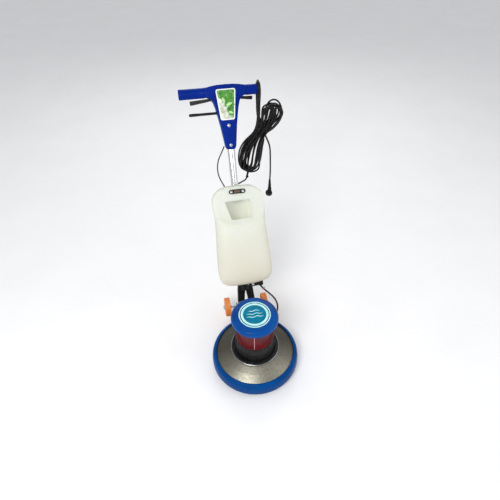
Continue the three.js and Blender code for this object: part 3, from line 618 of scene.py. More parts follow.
def relaxed(points, step, rounds):
    """Points a step apart along a path whose kinks have been eased out."""
    path = np.array(smooth_path(points, step))
    for _ in range(rounds):
        path[2:-2] = path[2:-2] / 2 + (path[1:-3] + path[3:-1]) / 4
    return [Vector(p) for p in path]


def cord_points():
    """The whole mains cord: tail, turns laid behind, nested turns, turns laid before, grip strands, lead."""
    steps = len(NESTED) + len(SADDLE) - 1
    rows = (ROW_DEPTH, -ROW_DEPTH)
    turns = [full_turn(1, 1, *laid) for laid in LAID_BACK]
    turns += [full_turn(1 - k / steps, 1 - k / (len(NESTED) - 1), rows[k % 2]) for k in NESTED]
    turns += [full_turn(1, 1, *laid) for laid in LAID_FRONT]
    turns += [saddle_turn(k / steps, rows[k % 2], *over, last=k == len(SADDLE) - 1)
              for k, over in enumerate(SADDLE)]
    joined_at = 3                    # the tail runs into the first turn at this point of it
    points = [*TAIL_ROUTE, *turns[0][joined_at:]]
    for turn_points in turns[1:]:
        before, after = points[-1], turn_points[0]
        low = [(a + b) / 2 for a, b in zip(before, after)]
        points += [(low[0], low[1], low[2] - 0.2 * (before[0] - after[0])), *turn_points]
    return relaxed([*points, (204, GRIP_Y + 20, 848), *LEAD_ROUTE], 5, 20)


def to_row(points, at=DECK):
    return [at @ (Vector(p) * MM) for p in points]


def cord_curve(name, points, diameter, replaces):
    """A round cord on the handle, as one open poly spline."""
    curve = bpy.data.curves.new(name, "CURVE")
    curve.dimensions = "3D"
    curve.bevel_depth = diameter / 2
    curve.bevel_resolution = 3
    curve.use_fill_caps = True
    spline = curve.splines.new("POLY")
    spline.points.add(len(points) - 1)
    for at, point in zip(spline.points, points):
        at.co = (*point, 1)
    spline.use_smooth = True
    return adopt(linked(name, curve), "handle", "cord_rubber", replaces)


mains_line = to_row(cord_points())
mains_cord = cord_curve(
    "mains_cord", mains_line, CORD_D * MM,
    ["mains_cord_tail", "mains_cord_saddle", "mains_cord_hank", "mains_cord_lead"])
cable_line = to_row(smooth_path(CABLE_ROUTE, 5), HANDLE)
valve_cable = cord_curve("valve_cable_sheath", cable_line, CABLE_D * MM, ["valve_cable"])
hose_line = smooth_path(HOSE_ROUTE, 4)
water_hose = on_deck(
    "hose", "hose_dark", ["water_hose"], sweep(hose_line, HOSE_D / 2, 20), body=None, crease=60)
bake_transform(water_hose)


def relief(z0, z1, r0, r1, rings):
    """A tapered strain relief with ribs, along Z."""
    profile = [(0, z0), (r0, z0, 1)]
    for k in range(rings):
        a, b = (z0 + (z1 - z0) * (k + s) / rings for s in (0.35, 0.75))
        ra, rb = (r0 + (r1 - r0) * (z - z0) / (z1 - z0) for z in (a, b))
        profile += [(ra, a, 0.6), (ra - 1.3, a + 0.9, 0.4), (rb - 1.3, b - 0.9, 0.4), (rb, b, 0.6)]
    return lathe([*profile, (r1, z1, 0.8), (0, z1)], 32)


SLEEVE_X, PLUG_Z = 236.0, 450.0
SLEEVE = shift(SLEEVE_X, GRIP_Y)
PLUG = shift(232, GRIP_Y, PLUG_Z) @ turn(-90, "X")
plug = on_deck(
    "plug_body", "black_plastic", ["mains_plug"], moved(relief(485, 545, 9.6, 5.9, 9), SLEEVE),
    moved(lathe([(0, 466), (10.8, 466, 2), (10.8, 484, 2), (9.2, 488, 1), (0, 488)], 32), SLEEVE),
    brick(SLEEVE_X - 11, SLEEVE_X + 9, GRIP_Y - 9, GRIP_Y + 9, PLUG_Z + 4, 474, 4, 4),
    moved(lathe([
        (0, -12), (17.5, -12, 1.5), (19.4, -9, 2), (19.4, -3, 1), (20.2, -2, 0.6), (20.2, 2, 0.6),
        (19.4, 3, 1), (19, 8, 3), (14, 12, 4), (0, 12)], 64), PLUG),
    moved(around(brick(15, 19.8, -1, 1, -9, 8, 0.5), 12), PLUG), body="handle")
plug_pin = lathe([(0, -31), (2.4, -31, 2), (2.4, -19, 0.2), (2.2, -18.6, 0.2), (2.2, -11, 0), (0, -11)], 20)
plug_pins = on_deck(
    "plug_pins", "steel", (), *(moved(plug_pin, shift(dx) @ PLUG) for dx in (-9.5, 9.5)), body="handle")

# The gland points away from the pole, to the right and back.
GLAND_AT = HANDLE @ shift(0, 0, 688 * MM) @ turn(-20, "Z") @ turn(-90, "X")
cord_gland = on_handle(
    "gland", "black_plastic", ["cord_gland"], relief(29, 49, 8.6, 5.8, 4), hexagon(11.4, 19.6, 25),
    tube(0, 9.6, 24, 30, (0, 1, 1.5, 0), 32), at=GLAND_AT)

TIE_NEAR = Vector((97, 796, 598))
tie_place = smooth_path(TAIL_ROUTE, 3)
tie_from = min(range(len(tie_place)), key=lambda i: (tie_place[i] - TIE_NEAR).length)
tie_middle = Matrix.Translation(tie_place[tie_from + 3])
tie = on_deck(
    "cord_tie", "black_plastic", (),
    sweep(tie_place[tie_from:tie_from + 6], lambda s: CORD_D / 2 + 3.4 * math.sin(math.pi * s) ** 0.4, 20),
    moved(brick(-5, 5, -3.5, 3.5, 2, 13, 1.2), tie_middle),
    moved(brick(-1.2, 1.2, -2.2, 2.2, 12, 27, 0.5), tie_middle @ turn(20, "Y")), body="handle", crease=30)


# ------------------------ light and floor
def lamp(name, at, toward, size, power):
    data = bpy.data.lights.new(name, "AREA")
    data.shape = "RECTANGLE"
    data.size, data.size_y = size
    data.energy = power
    obj = linked(name, data)
    obj.location = at
    obj.rotation_euler = (Vector(toward) - Vector(at)).to_track_quat("-Z", "Y").to_euler()


lamp("key", (-1.3, -2.3, 2.8), (0, -0.1, 0.4), (1.6, 1.2), 70)
lamp("fill", (2.4, -1.2, 2.0), (0, 0, 0.5), (1.8, 1.8), 11)
lamp("back", (0.4, 2.6, 2.6), (0, 0, 0.6), (2.2, 1.4), 26)

world = bpy.data.worlds.new("studio")
world.use_nodes = True
sky = world.node_tree.nodes["Background"].inputs
sky["Color"].default_value = (0.96, 0.97, 1.0, 1)
sky["Strength"].default_value = 0.6
bpy.context.scene.world = world
bpy.context.scene.view_settings.view_transform = "Standard"

floor_look = Nodes("floor")
floor_look.surface(floor_look.tones(3, (0.93, 0.93, 0.93), (0.96, 0.96, 0.96), detail=4), 0.8)
FLOOR = 14.0
floor_mesh = bpy.data.meshes.new("floor")
floor_mesh.from_pydata(
    [(x * FLOOR, y * FLOOR, 0) for x, y in ((-1, -1), (1, -1), (1, 1), (-1, 1))], [], [(0, 1, 2, 3)])
floor_mesh.materials.append(floor_look.material)
floor = linked("floor", floor_mesh)


# ------------------------ brush, deck and bumper
on_deck("bumper", "bumper_blue", ["bumper_ring"], lathe([
    (207.9, 17, 1), (214.5, 16, 2), (219.6, 28, 8), (220, 50, 2), (219, 51.2, 0.6), (219, 53, 0.6),
    (219.8, 54.2, 2), (218, 68, 10), (214.5, 80, 10), (206, 88.6, 6), (197.6, 89, 1.2), (197.6, 86, 0.8),
    (207.9, 78, 2)], 160))
on_deck("deck_bell", "deck_metal", ["deck_plate"], lathe([
    (36, 122), (118, 122, 6), (126, 120, 10), (160, 104, 60), (194, 85.4, 12), (204, 79.4, 6), (207.4, 74, 3),
    (207.4, 42, 1), (204, 42, 1), (204, 72, 4), (190, 82.5, 10), (120, 118.4, 6), (36, 118.4)], 160))

BRISTLE_ROOT = 32.5                  # height at which the bristles stand in the block
TUFT_STRANDS, STRAND_SIDES = 5, 5
TUFT_RINGS = [                       # radius, number of tufts, lean away from the axis
    (186.5, 82, 2.0), (176, 78, 1.2), (162, 70, 0), (146, 62, 0), (129, 54, 0), (113, 46, 0), (99, 38, -1.2)]
bristle_random = random.Random(11)


def tuft(radius, angle, lean_out):
    """A tuft of bristles: a few splayed tapering strands set in the block."""
    corners = [Vector((math.cos(a), math.sin(a), 0)) for a in angles(STRAND_SIDES, 0.5)]
    strands = []
    for a in angles(TUFT_STRANDS):
        a += bristle_random.uniform(0, 1)
        out = 2.6 + bristle_random.uniform(-0.6, 1.2)
        tip = Vector((lean_out + out * math.cos(a), out * math.sin(a), bristle_random.uniform(0.2, 1.2)))
        foot = Vector((1.3 * math.cos(a), 1.3 * math.sin(a), BRISTLE_ROOT))
        strands.append(loft([[tip + v * 0.75 for v in corners], [foot + v * 1.5 for v in corners]]))
    return moved(together(*strands), Matrix.Rotation(angle, 4, "Z") @ shift(radius))


on_deck("bristles", "bristle", ["bristle_ring"], *(
    tuft(radius, a, lean) for k, (radius, count, lean) in enumerate(TUFT_RINGS)
    for a in angles(count, math.pi * (k % 2) / count)), body="brush")
on_deck("brush_back", "block_blue", ["brush_block"], lathe([
    (48, 32.3, 1), (192, 32.3, 2), (196, 37, 3), (196, 47, 3), (190, 52, 2), (150, 52, 1), (148, 50, 1),
    (96, 50, 1), (94, 52, 1), (48, 52, 1)], 128),
    around(brick(100, 144, -4, 4, 48, 51.6, 1.2), 12), body="brush")
on_deck("clutch", "black_plastic", ["clutch_plate"], lathe([
    (36, 52.3, 0.5), (76, 52.3, 1.5), (78, 55, 1), (78, 58, 1), (76, 60, 1), (36, 60, 0.8)], 96),
    around(moved(hexagon(5, 59.8, 63.5), shift(70)), 3, math.pi * 5 / 6), body="brush")

on_deck("flange", "black_paint", ["flange_ring"], lathe([
    (102, 122.4, 0.4), (118.6, 122.4, 0.4), (119.6, 124, 0.6), (119.6, 128.4, 1), (116.6, 132, 2),
    (104, 132, 1.4), (102, 130.4, 1)], 128))
on_deck("flange_rim", "steel", (), lathe([
    (119.8, 122.4, 0.3), (121.4, 122.4, 0.5), (121.4, 125.2, 0.6), (120.4, 126, 0.4),
    (119.8, 125.6, 0.2)], 128))
flange_bolt = together(
    tube(0, 6.6, 131.8, 133, (0, 0.3, 0.4, 0), 28), moved(hexagon(5.2, 132.9, 136.8), turn(14, "Z")),
    tube(0, 2.4, 136, 137.6, (0, 0, 0.7, 0), 16))
on_deck("flange_bolts", "black_paint", (), around(moved(flange_bolt, shift(110.5)), 8, 0.22))
gearcase_rib = moved(brick(-10, 2.8, -2.2, 2.2, -32, 32, 1.4), shift(97.6, 0, 165) @ turn(-5, "Y"))
on_deck("gearcase_body", "black_paint", ["gearcase"], lathe([
    (31.3, 122.4), (100, 122.4, 0.5), (101.2, 132, 3), (101, 152, 6), (99, 176, 10), (95, 196, 6),
    (93, 205, 1), (93, 211.6, 1.2), (84, 211.8, 0.5), (84, 205), (73.2, 205), (73.2, 136), (31.3, 136)], 128),
    around(gearcase_rib, 12, 0.13))

# ------------------------ motor
SEAM = turn(-101, "Z")               # the shell's joint faces the front
on_deck("motor_shell", "motor_red", ["stator_shell"], lathe([
    (88.5, 212.4), (91, 212.4, 0.8), (92.4, 214, 0.8), (92.4, 217, 0.8), (91.4, 218.4, 0.6), (91.4, 322, 0.6),
    (92.4, 323.4, 0.8), (92.4, 328, 0.8), (91, 329.8, 0.8), (88.5, 329.8)], 128))
# Raised weld seam on the shell, coloured pale as a painted highlight.
shell_strip = moved(brick(91, 92.6, -1.5, 1.5, 218.6, 322, 0.5), SEAM)
on_deck("shell_seam", SEAM_HIGHLIGHT, (), shell_strip, slot="motor_red")
shell_screw = moved(cross_screw(3.6, 1.8), SEAM @ shift(91.6, 7, 320) @ turn(90, "Y"))
on_deck("shell_screws", "steel", (), around(shell_screw, 4))
on_deck("cap", "cap_blue", ["motor_cap"], lathe([
    (108, 336, 1.2), (112.6, 339, 3), (115, 347, 8), (113.4, 357.5, 10), (106, 367, 10), (96, 371.6, 10),
    (81, 373, 3), (79.5, 371.4, 0.8), (0, 371.4), (0, 368), (90, 368), (102, 363, 6), (109, 354, 5),
    (110.6, 347, 3), (101.5, 342, 1), (101.5, 336, 0.8)], 160))


def wave(width, y, height):
    """A raised wavy line across the badge, as water."""
    path = [(x, y + height * math.sin(x * 0.16), 372.7) for x in np.linspace(-width, width, 60)]
    return sweep(path, lambda s: 2.3 * math.sin(math.pi * min(0.98, max(0.02, s))) ** 0.35, 12, 0.35)


for name, look, *shapes in (
        ("badge_rim", MINT, lathe([
            (70.6, 371, 0.2), (76.4, 371, 0.2), (76.4, 372.4, 0.6), (75.4, 373, 0.6), (71.6, 373, 0.6),
            (70.6, 372.4, 0.4)], 128)),
        ("badge_ground", "head_blue", tube(0, 70.4, 371.2, 371.9, (0, 0.2, 0.3, 0), 128)),
        ("badge_ring", MINT, tube(55.5, 66.5, 371.8, 372.5, (0, 0.2, 0.5, 0), 128)),
        ("badge_face", TEAL, lathe([
            (0, 371.8), (55.2, 371.8), (55.2, 372.6, 0.4), (50, 372.8, 1), (0, 372.8)], 128)),
        ("badge_waves", MINT, wave(26, 21, 2.2), wave(38, 3, 2.6), wave(40, -14, 2.6))):
    on_deck(name, look, (), *shapes, slot="cap_blue")

cover_screws = (moved(cross_screw(3.4, 1.8), shift(x, 127.8, z) @ turn(-90, "X"))
                for x in (-26, 26) for z in (228, 286))
on_deck("terminal_cover", "black_plastic", ["terminal_box", "run_capacitor"],
        brick(-32, 32, 92.4, 122, 222, 292, 3.5, 4), brick(-33, 33, 121, 128, 221, 293, 3, 4), *cover_screws,
        brick(-20, 20, 126.4, 128.8, 246, 270, 1))
on_deck("motor_gland", "black_plastic", ["motor_lead_gland"], relief(8, 26, 8.4, 5.2, 4),
        hexagon(10.4, 0.3, 6.5), tube(0, 9.4, 0.2, 9, (0, 0.5, 1.5, 0), 28),
        at=DECK @ shift(0, 128 * MM, 240 * MM) @ turn(-90, "X"))

# ------------------------ wheels and hose inlet
AXLE_Y, AXLE_Z, WHEEL_X = 290, 95, 103
TYRE_HALF = [
    (8.3, -15, 0.5), (11, -15, 1), (19, -14.6, 2), (22, -6.6, 1), (36, -9, 1), (38, -11, 1.5), (49, -15, 1),
    (51, -13.6, 2), (52, -10, 1), (52, -5.6, 0.8), (50.6, -5, 0.5), (50.6, -3.6, 0.5), (52, -3, 0.8)]
wheel = together(lathe([*TYRE_HALF, *mirrored(TYRE_HALF, 1)]), around(together(
    brick(18, 38, -1.8, 1.8, 5.6, 10.6, 1), brick(18, 38, -1.8, 1.8, -10.6, -5.6, 1)), 8))
axle_cap = together(tube(8.4, 13, 15.4, 17, (0.3, 0.4, 0.5, 0)), lathe([
    (8.4, 17.2), (10.6, 17.2, 0.8), (10.6, 22, 2.5), (7, 23.6, 2), (0, 24), (0, 20.6), (8.4, 20.4)], 40))
for side, name in ((-1, "left"), (1, "right")):
    hub = shift(side * WHEEL_X, AXLE_Y, AXLE_Z) @ turn(90 * side, "Y")
    on_deck(f"{name}_tyre", "wheel_orange", [f"wheel_{name}"], moved(wheel, hub), body=f"{name}_wheel")
    on_deck(f"{name}_axle_cap", "steel", (), moved(axle_cap, hub))

SIDEWAYS = shift(0, 0, 106) @ turn(90, "Y")
inlet = together(
    lathe([(0, 92.4), (12, 92.4, 0.6), (12, 96, 1), (9, 98, 1), (9, 109, 4), (4, 112, 3), (0, 112)], 40),
    moved(lathe([(0, 2), (5, 2), (5, 12, 0.3), (4.2, 12.2, 0.3), (5, 17, 0.3), (4.2, 17.2, 0.3), (5, 22, 0.3),
                 (4, 26, 0.5), (0, 26)], 32), SIDEWAYS),
    moved(hexagon(10.4, 4, 9), SIDEWAYS))
INLET_ANGLE, INLET_R = 0.884, 181    # where the water goes in, beside the motor at the back
INLET_AT = Matrix.Rotation(INLET_ANGLE, 4, "Z") @ shift(INLET_R)
on_deck("inlet_elbow", "black_plastic", ["hose_inlet"], moved(inlet, INLET_AT))


def hose_clamp(at, direction):
    """A spring band round a hose end, with its two ears."""
    radius = HOSE_D / 2
    ears = (brick(x, x + 1.4, radius, radius + 7, -3.4, 3.4, 0.5) for x in (-3.4, 2))
    band = tube(radius, radius + 1.2, -4, 4, (0.3, 0.4, 0.4, 0.3), 36)
    axis = direction.to_track_quat("Z", "Y").to_matrix().to_4x4()
    return moved(together(band, *ears), Matrix.Translation(at) @ axis)


for name, at, direction, body in (
        ("deck", hose_line[-3], hose_line[-1] - hose_line[-5], "deck"),
        ("valve", hose_line[2], hose_line[3] - hose_line[1], "handle")):
    on_deck(f"hose_clamps_{name}", "steel", (), hose_clamp(at, direction), body=body)

# ------------------------ fork and pole
POLE_R = 19
BORE_R = POLE_R + 0.4                # holes that the pole goes through
FORK_RIGHT = [
    (10, -28, 6), (30, -28, 8), (42, -20, 10), (46, 0, 14), (46, 60, 40), (41, 130, 60), (30, 180, 14),
    (24, 205, 4)]
FORK_NOTCH = [(-9.5, 66, 6), (-1.5, 118, 1), (1.5, 118, 1), (9.5, 66, 6)]
fork = raw_object(
    "fork_yoke", prism(rounded([*FORK_RIGHT, *mirrored(FORK_RIGHT), *FORK_NOTCH]), -15, 15, 1.2), HANDLE)
carve(fork, HANDLE, moved(tube(0, 8.6, -70, 70), turn(90, "Y")), tube(0, BORE_R, 124.4, 240, segments=64))
adopt(fork, "handle", "black_paint", ["fork"])
on_handle("fork_collar", "black_paint", (), lathe([
    (BORE_R, 119, 0.5), (25, 119, 3), (27, 124, 3), (27, 206, 3), (25.4, 209, 1.5), (25.4, 213, 1.5),
    (23.6, 215, 1), (BORE_R, 215, 0.5)], 72),
    *(moved(cross_screw(5, 2.6), shift(0, 26.6, s) @ turn(-90, "X")) for s in (150, 188)))
on_handle("pole", "chrome", ["handle_pole"], tube(17.4, POLE_R, 125, 1012, (0, 0.3, 0.3, 0), 96))

# ------------------------ T-shaped head
HEAD_RIGHT = [
    (0, 1190), (40, 1189.5, 60), (74, 1185, 30), (100, 1180, 10), (100, 1137, 10), (82, 1129, 24),
    (67, 1111, 30), (58, 1080, 60), (50, 1040, 80), (41, 990, 80), (30, 908, 60), (27, 888, 10), (20, 875, 8),
    (0, 873)]
HEAD_FRONT, HEAD_BACK = -30.0, 22.0
HEAD_SCREWS = (("upper", 992), ("lower", 895))
GRIP_S = 1158.0
GRIP_FLAT = 0.85


def grip(side, reach):
    """A grip that swells into the hub: an oval bar with a rounded end and a moulded ring before it."""
    swell = [(40, 27, 0.95), (62, 27, 0.95), (84, 26.4, 0.92), (106, 25.4, 0.88), (130, 25, GRIP_FLAT)]
    end = [(22, 25.6), (18, 25.6), (16, 26.2), (6, 26.2), (2, 25.2), (0, 22.5)]
    rings = []
    for x, half, flat in [*swell, *((reach - back, half, GRIP_FLAT) for back, half in end)]:
        middle = -4 * max(0.0, min(1.0, (120 - x) / 60))
        rings.append([(side * x, middle + half * flat * math.cos(a), GRIP_S + half * math.sin(a))
                      for a in angles(64)])
    return loft(rings)


def head_solid():
    """Hub and grips grown together with soft fillets, hollowed for the pole, the switch and the levers."""
    outline = rounded([*HEAD_RIGHT, *mirrored(HEAD_RIGHT[1:-1])], 8)
    hub = prism(outline, HEAD_FRONT - 0.6, HEAD_BACK + 0.6, 9, 5)
    core = raw_object("head", together(hub, grip(-1, 232), grip(1, 178)), HANDLE)
    remesh = core.modifiers.new("grow", "REMESH")
    remesh.mode = "VOXEL"
    remesh.voxel_size = 2.2 * MM
    soften = core.modifiers.new("soften", "SMOOTH")
    soften.factor = 0.5
    soften.iterations = 9
    bpy.context.view_layer.update()
    applied(core)
    return carve(
        core, HANDLE, brick(-104, -40, -9, 9, 1106, 1144, 2), brick(40, 104, -9, 9, 1106, 1144, 2),
        brick(-80, -40, -10, 10, 1046, 1073, 2), brick(-44, 44, -21, 15, 1044, 1152, 2),
        tube(0, BORE_R, 850, 1013, segments=48),
        *(moved(tube(0, 8.6, -9, 2, (0, 1, 0, 0)), shift(0, HEAD_FRONT + 1, s) @ turn(-90, "X"))
          for _, s in HEAD_SCREWS))


def half_of(core, name, sign):
    """One moulding of the head, cut at the parting plane: the front one for -1, the rear one for 1."""
    made = linked(f"head_{name}", core.data.copy())
    bm = bmesh.new()
    bm.from_mesh(made.data)
    at = HANDLE @ Vector((0, sign * 0.3 * MM, 0))
    normal = HANDLE.to_3x3() @ Vector((0, -sign, 0))
    cut = bmesh.ops.bisect_plane(bm, geom=bm.verts[:] + bm.edges[:] + bm.faces[:], dist=1e-6, plane_co=at,
                                 plane_no=normal, clear_outer=True)
    bmesh.ops.holes_fill(bm, edges=[e for e in cut["geom_cut"] if isinstance(e, bmesh.types.BMEdge)], sides=0)
    bm.to_mesh(made.data)
    bm.free()
    adopt(made, "handle", "head_blue", [f"head_{name}_shell"], crease=32)


head_core = head_solid()
half_of(head_core, "front", -1)
half_of(head_core, "rear", 1)
bpy.data.objects.remove(head_core)

head_screw = together(cross_screw(7, 3.4), tube(0, 8.2, -0.6, 0.4, (0, 0.3, 0.4, 0), 32))
for name, s in HEAD_SCREWS:
    on_handle(f"head_screw_{name}_detail", "steel", [f"head_screw_{name}"],
              moved(head_screw, shift(0, HEAD_FRONT - 0.4, s) @ turn(90, "X")))

PAPER_OUTLINE = rounded([(-50, 1168, 12), (50, 1168, 12), (33, 1019, 12), (-37, 1019, 12)], 8)
PRINT_OUTLINE = rounded([(-44, 1163, 9), (44, 1163, 9), (28, 1025, 9), (-32, 1025, 9)], 8)


def leaf(x, s, length, width, angle, depth):
    """A pointed leaf with a raised midrib, lying on the label."""
    side = [(length * t, width * math.sin(math.pi * t) ** 0.8 * (1 - 0.35 * t))
            for t in np.linspace(0, 1, 14)]
    blade = prism(side + mirrored(side[1:-1], 1), -0.35, 0, 0.1, 1)
    midrib = [(length * t, -0.4, 0) for t in np.linspace(0.02, 0.96, 12)]
    rib = sweep(midrib, lambda t: 0.7 * (1 - 0.8 * t) + 0.1, 8, 0.6)
    return moved(together(blade, rib), shift(x, HEAD_FRONT - 1.3 - depth, s) @ turn(angle, "Y"))


for name, look, *shapes in (
        ("label_backing", PAPER, prism(PAPER_OUTLINE, HEAD_FRONT - 1.2, HEAD_FRONT + 0.2, 0.3, 2)),
        ("label", LABEL, prism(PRINT_OUTLINE, HEAD_FRONT - 1.4, HEAD_FRONT - 1.0, 0.1, 1)),
        ("label_leaves", LEAF, leaf(-8, 1112, 48, 13, -38, 0.25), leaf(2, 1098, 40, 11, 12, 0.15),
         leaf(-24, 1120, 34, 9, -72, 0.1), leaf(2, 1078, 34, 10, 50, 0.1)),
        ("label_leaves_pale", LEAF_PALE, leaf(-4, 1090, 34, 8, -18, 0.4), leaf(-10, 1104, 27, 7, -110, 0.3),
         leaf(6, 1060, 24, 7, 28, 0.3))):
    on_handle(name, look, (), *shapes, slot="head_blue")

# ------------------------ triggers and lever
TRIGGER_X, TRIGGER_S = 38, 1128
LEVER_S = 1057


def rod_y(radius, half):
    return moved(tube(0, radius, -half, half, (0, 0.5, 0.5, 0), 24), turn(90, "X"))


def trigger_bar(side, reach):
    """A flat bar with a finger ridge along its lower edge and a turned-down end."""
    end = 6 + reach * 0.03
    outline = rounded([
        (-9, -5, 2), (0, -6, 4), (reach, -end, 4), (reach, end, 4), (60, 6.2, 10), (0, 6, 4), (-9, 5, 2)])
    ridges = [brick(x, x + 3, -5.4, 5.4, -7.4 - 0.03 * x, -5 - 0.03 * x, 0.7)
              for x in np.arange(62, reach - 14, 9)]
    return moved(together(prism(outline, -6.5, 6.5, 2.2, 3), rod_y(3, 14), *ridges),
                 shift(side * TRIGGER_X, 0, TRIGGER_S) @ Matrix.Scale(side, 4, (1, 0, 0)) @ turn(6, "Y"))


for side, reach, name in ((-1, 143, "left"), (1, 96, "right")):
    on_handle(f"{name}_trigger_bar", "black_plastic", [f"switch_trigger_{name}"], trigger_bar(side, reach),
              body=f"{name}_trigger")
on_handle("lever_bar", "black_plastic", ["water_lever"], moved(lathe([
    (0, -36), (7.2, -36, 1), (7.2, -56, 0.5), (6.6, -57, 0.4), (6.8, -140, 8), (7.4, -152, 6), (7.6, -176, 5),
    (7.4, -186, 4), (4, -191.4, 2.5), (0, -191.4)], 40), shift(0, 0, LEVER_S) @ turn(90, "Y")),
    moved(rod_y(3, 14), shift(-38, 0, LEVER_S)), body="lever")

# ------------------------ solution tank
# Height along the handle, half width, depth of the full front, how square the section is.
TANK_ROWS = [
    (186, 72, -116, 2.6), (187.5, 88, -132, 2.6), (192, 104, -148, 2.8), (204, 122, -166, 3),
    (230, 134, -177, 3.4), (264, 138, -181, 3.6), (330, 137, -180, 3.6), (420, 131, -174, 3.6),
    (500, 126, -167, 3.6), (560, 128, -161, 3.8), (610, 131, -153, 4), (640, 129, -143, 3.8),
    (662, 118, -131, 3.4), (678, 99, -118, 3), (688, 82, -106, 2.6), (692, 66, -92, 2.4)]
TANK_LOW, TANK_HIGH = TANK_ROWS[0][0], TANK_ROWS[-1][0]
TANK_BACK, TANK_WALL = -30.0, 4.0
FACET_FROM, FACET_DEPTH, FACET_SLOPE = 505.0, -161.0, 0.352
MOUTH = rounded([(-72, 626, 9), (62, 628, 9), (60, 536, 9), (-46, 532, 12)], 8)
TANK_SIDES = 144
BELLY = 262.0                        # below this the underside climbs towards the valve's side
LIP_S = 509.0                        # height of the bulge below the mouth


def facet(s):
    """Depth of the sloping upper face at a height along the handle."""
    return FACET_DEPTH + FACET_SLOPE * (s - FACET_FROM)


def soft_max(a, b, width):
    """The larger of two depths, with the crease between them rounded over."""
    gap = max(0.0, width - abs(a - b))
    return max(a, b) + gap * gap / (4 * width)


def tank_ring(row, inset):
    """One section of the tank's skin, or of its hollow where inset is the wall."""
    s, half, front, square = row
    middle, depth = (front + TANK_BACK) / 2, (TANK_BACK - front) / 2 - inset
    ring = []
    for a in angles(TANK_SIDES, math.pi / TANK_SIDES):
        c, d = (math.copysign(abs(v) ** (2 / square), v) for v in (math.cos(a), math.sin(a)))
        x = (half - inset) * c
        risen = s + max(0.0, BELLY - s) / (BELLY - TANK_LOW) * (x + half) * 0.045
        y = soft_max(middle + depth * d, facet(s) + inset * 1.05, 5.0)
        if not inset and d < 0 and abs(x) < half * 0.94:
            y -= 9 * math.exp(-(((s - LIP_S - 0.0024 * x * x) / 11) ** 2)) * (1 - (x / half) ** 6)
        if inset and d > 0.8:
            y += 1.1 * math.cos(x * 0.26)
        ring.append((x, min(y, TANK_BACK), risen))
    return ring


def tank_skin(inset):
    """The closed skin through smoothed rows, set in by a distance."""
    source = np.array(TANK_ROWS, float)
    along = np.concatenate([[0], np.cumsum(np.linalg.norm(np.diff(source[:, :3], axis=0), axis=1))])
    even = np.linspace(0, along[-1], 150)
    rows = np.stack([np.interp(even, along, source[:, k]) for k in range(4)], axis=1)
    for _ in range(4):
        rows[1:-1] = (rows[:-2] + 2 * rows[1:-1] + rows[2:]) / 4
    rows[:, 0] = np.clip(rows[:, 0], TANK_LOW + inset, TANK_HIGH - inset)
    rings = [tank_ring(row, inset) for row in rows.tolist()]
    ends = []
    for ring in (rings[0], rings[-1]):
        middle = np.mean(ring, axis=0)
        ends.append([(middle + (ring - middle) * share).tolist() for share in (0.35, 0.7, 0.93)])
    return loft([*ends[0], *rings, *reversed(ends[1])])


def closed_bead(path, radius, sides=12):
    """A round bead along a closed path."""
    rings = []
    for i in range(len(path) + 1):
        here, before, after = (Vector(path[k % len(path)]) for k in (i, i - 1, i + 1))
        along = (after - before).normalized()
        side = along.cross(Vector((0, 1, 0))).normalized()
        up = side.cross(along) * 0.8
        rings.append([here + (side * math.cos(a) + up * math.sin(a)) * radius for a in angles(sides)])
    return loft(rings, cap=False)


tank = raw_object("tank_skin", tank_skin(0), HANDLE)
carve(tank, HANDLE, tank_skin(TANK_WALL), prism(MOUTH, -215, -84))
adopt(tank, "handle", "tank_white", ["solution_tank"], crease=42)
lip = closed_bead([(x, facet(s) - 0.2, s) for x, s in MOUTH], 2.6)
on_handle("tank_lip", "tank_white", (), lip, crease=80)

VALVE_X, VALVE_Y, VALVE_S = 68.0, -62.0, 165.0
on_handle("tank_boss", "tank_white", (), tube(0, 12, 185.8, 200, (0.2, 0.5, 1, 0)),
          at=HANDLE @ shift(VALVE_X * MM, VALVE_Y * MM))

# The hanger plate lies on the sloping face, with a screw at each end.
HANGER_S = 668
FACET_TILT = Matrix.Rotation(-math.atan(FACET_SLOPE), 4, "X")
PLATE_AT = HANDLE @ shift(0, facet(HANGER_S) * MM, HANGER_S * MM) @ FACET_TILT
STADIUM = [(x + 11 * math.cos(a), 11 * math.sin(a)) for x, start in ((31, -90), (-31, 90))
           for a in (math.radians(start + 180 * k / 16) for k in range(17))]
on_handle("hanger", "black_paint", ["tank_hanger_plate"], prism(STADIUM, -3.4, 0.4, 0.9), at=PLATE_AT)
inlay = prism(rounded([(-15, -6.5, 2), (15, -6.5, 2), (15, 6.5, 2), (-15, 6.5, 2)]), -4.2, -3.2, 0.3, 2)
on_handle("hanger_inlay", BRONZE, (), inlay, at=PLATE_AT, slot="steel")
on_handle("hanger_screws", "steel", (), *(
    moved(cross_screw(7, 2.8), shift(x, -3.2, 0) @ turn(90, "X")) for x in (-29, 29)), at=PLATE_AT)


def tank_clamp(s):
    """A two-part clamp on the pole with a pad to the tank."""
    ring = lathe([
        (BORE_R, s - 12, 0.4), (24, s - 12, 1.5), (25, s - 10, 1), (25, s + 10, 1), (24, s + 12, 1.5),
        (BORE_R, s + 12, 0.4)], 64)
    pads = (brick(x, x + 6, -24, -14, s - 11.5, s + 11.5, 1) for x in (-17, 11))
    return together(ring, brick(-22, 22, TANK_BACK + 0.4, -20.5, s - 12, s + 12, 2), *pads)


clamp_screw = lathe([(0, -3), (3.6, -3, 0.5), (3.6, 3, 0.8), (2, 3, 0.2), (2, 1), (0, 1)], 24)
for name, s in (("upper", 612), ("lower", 300)):
    on_handle(f"clamp_{name}", "black_paint", [f"tank_clamp_{name}"], tank_clamp(s))
    on_handle(f"clamp_{name}_screws", "steel", (), *(
        moved(clamp_screw, shift(x, 25, s) @ turn(-90, "X")) for x in (-8, 8)))

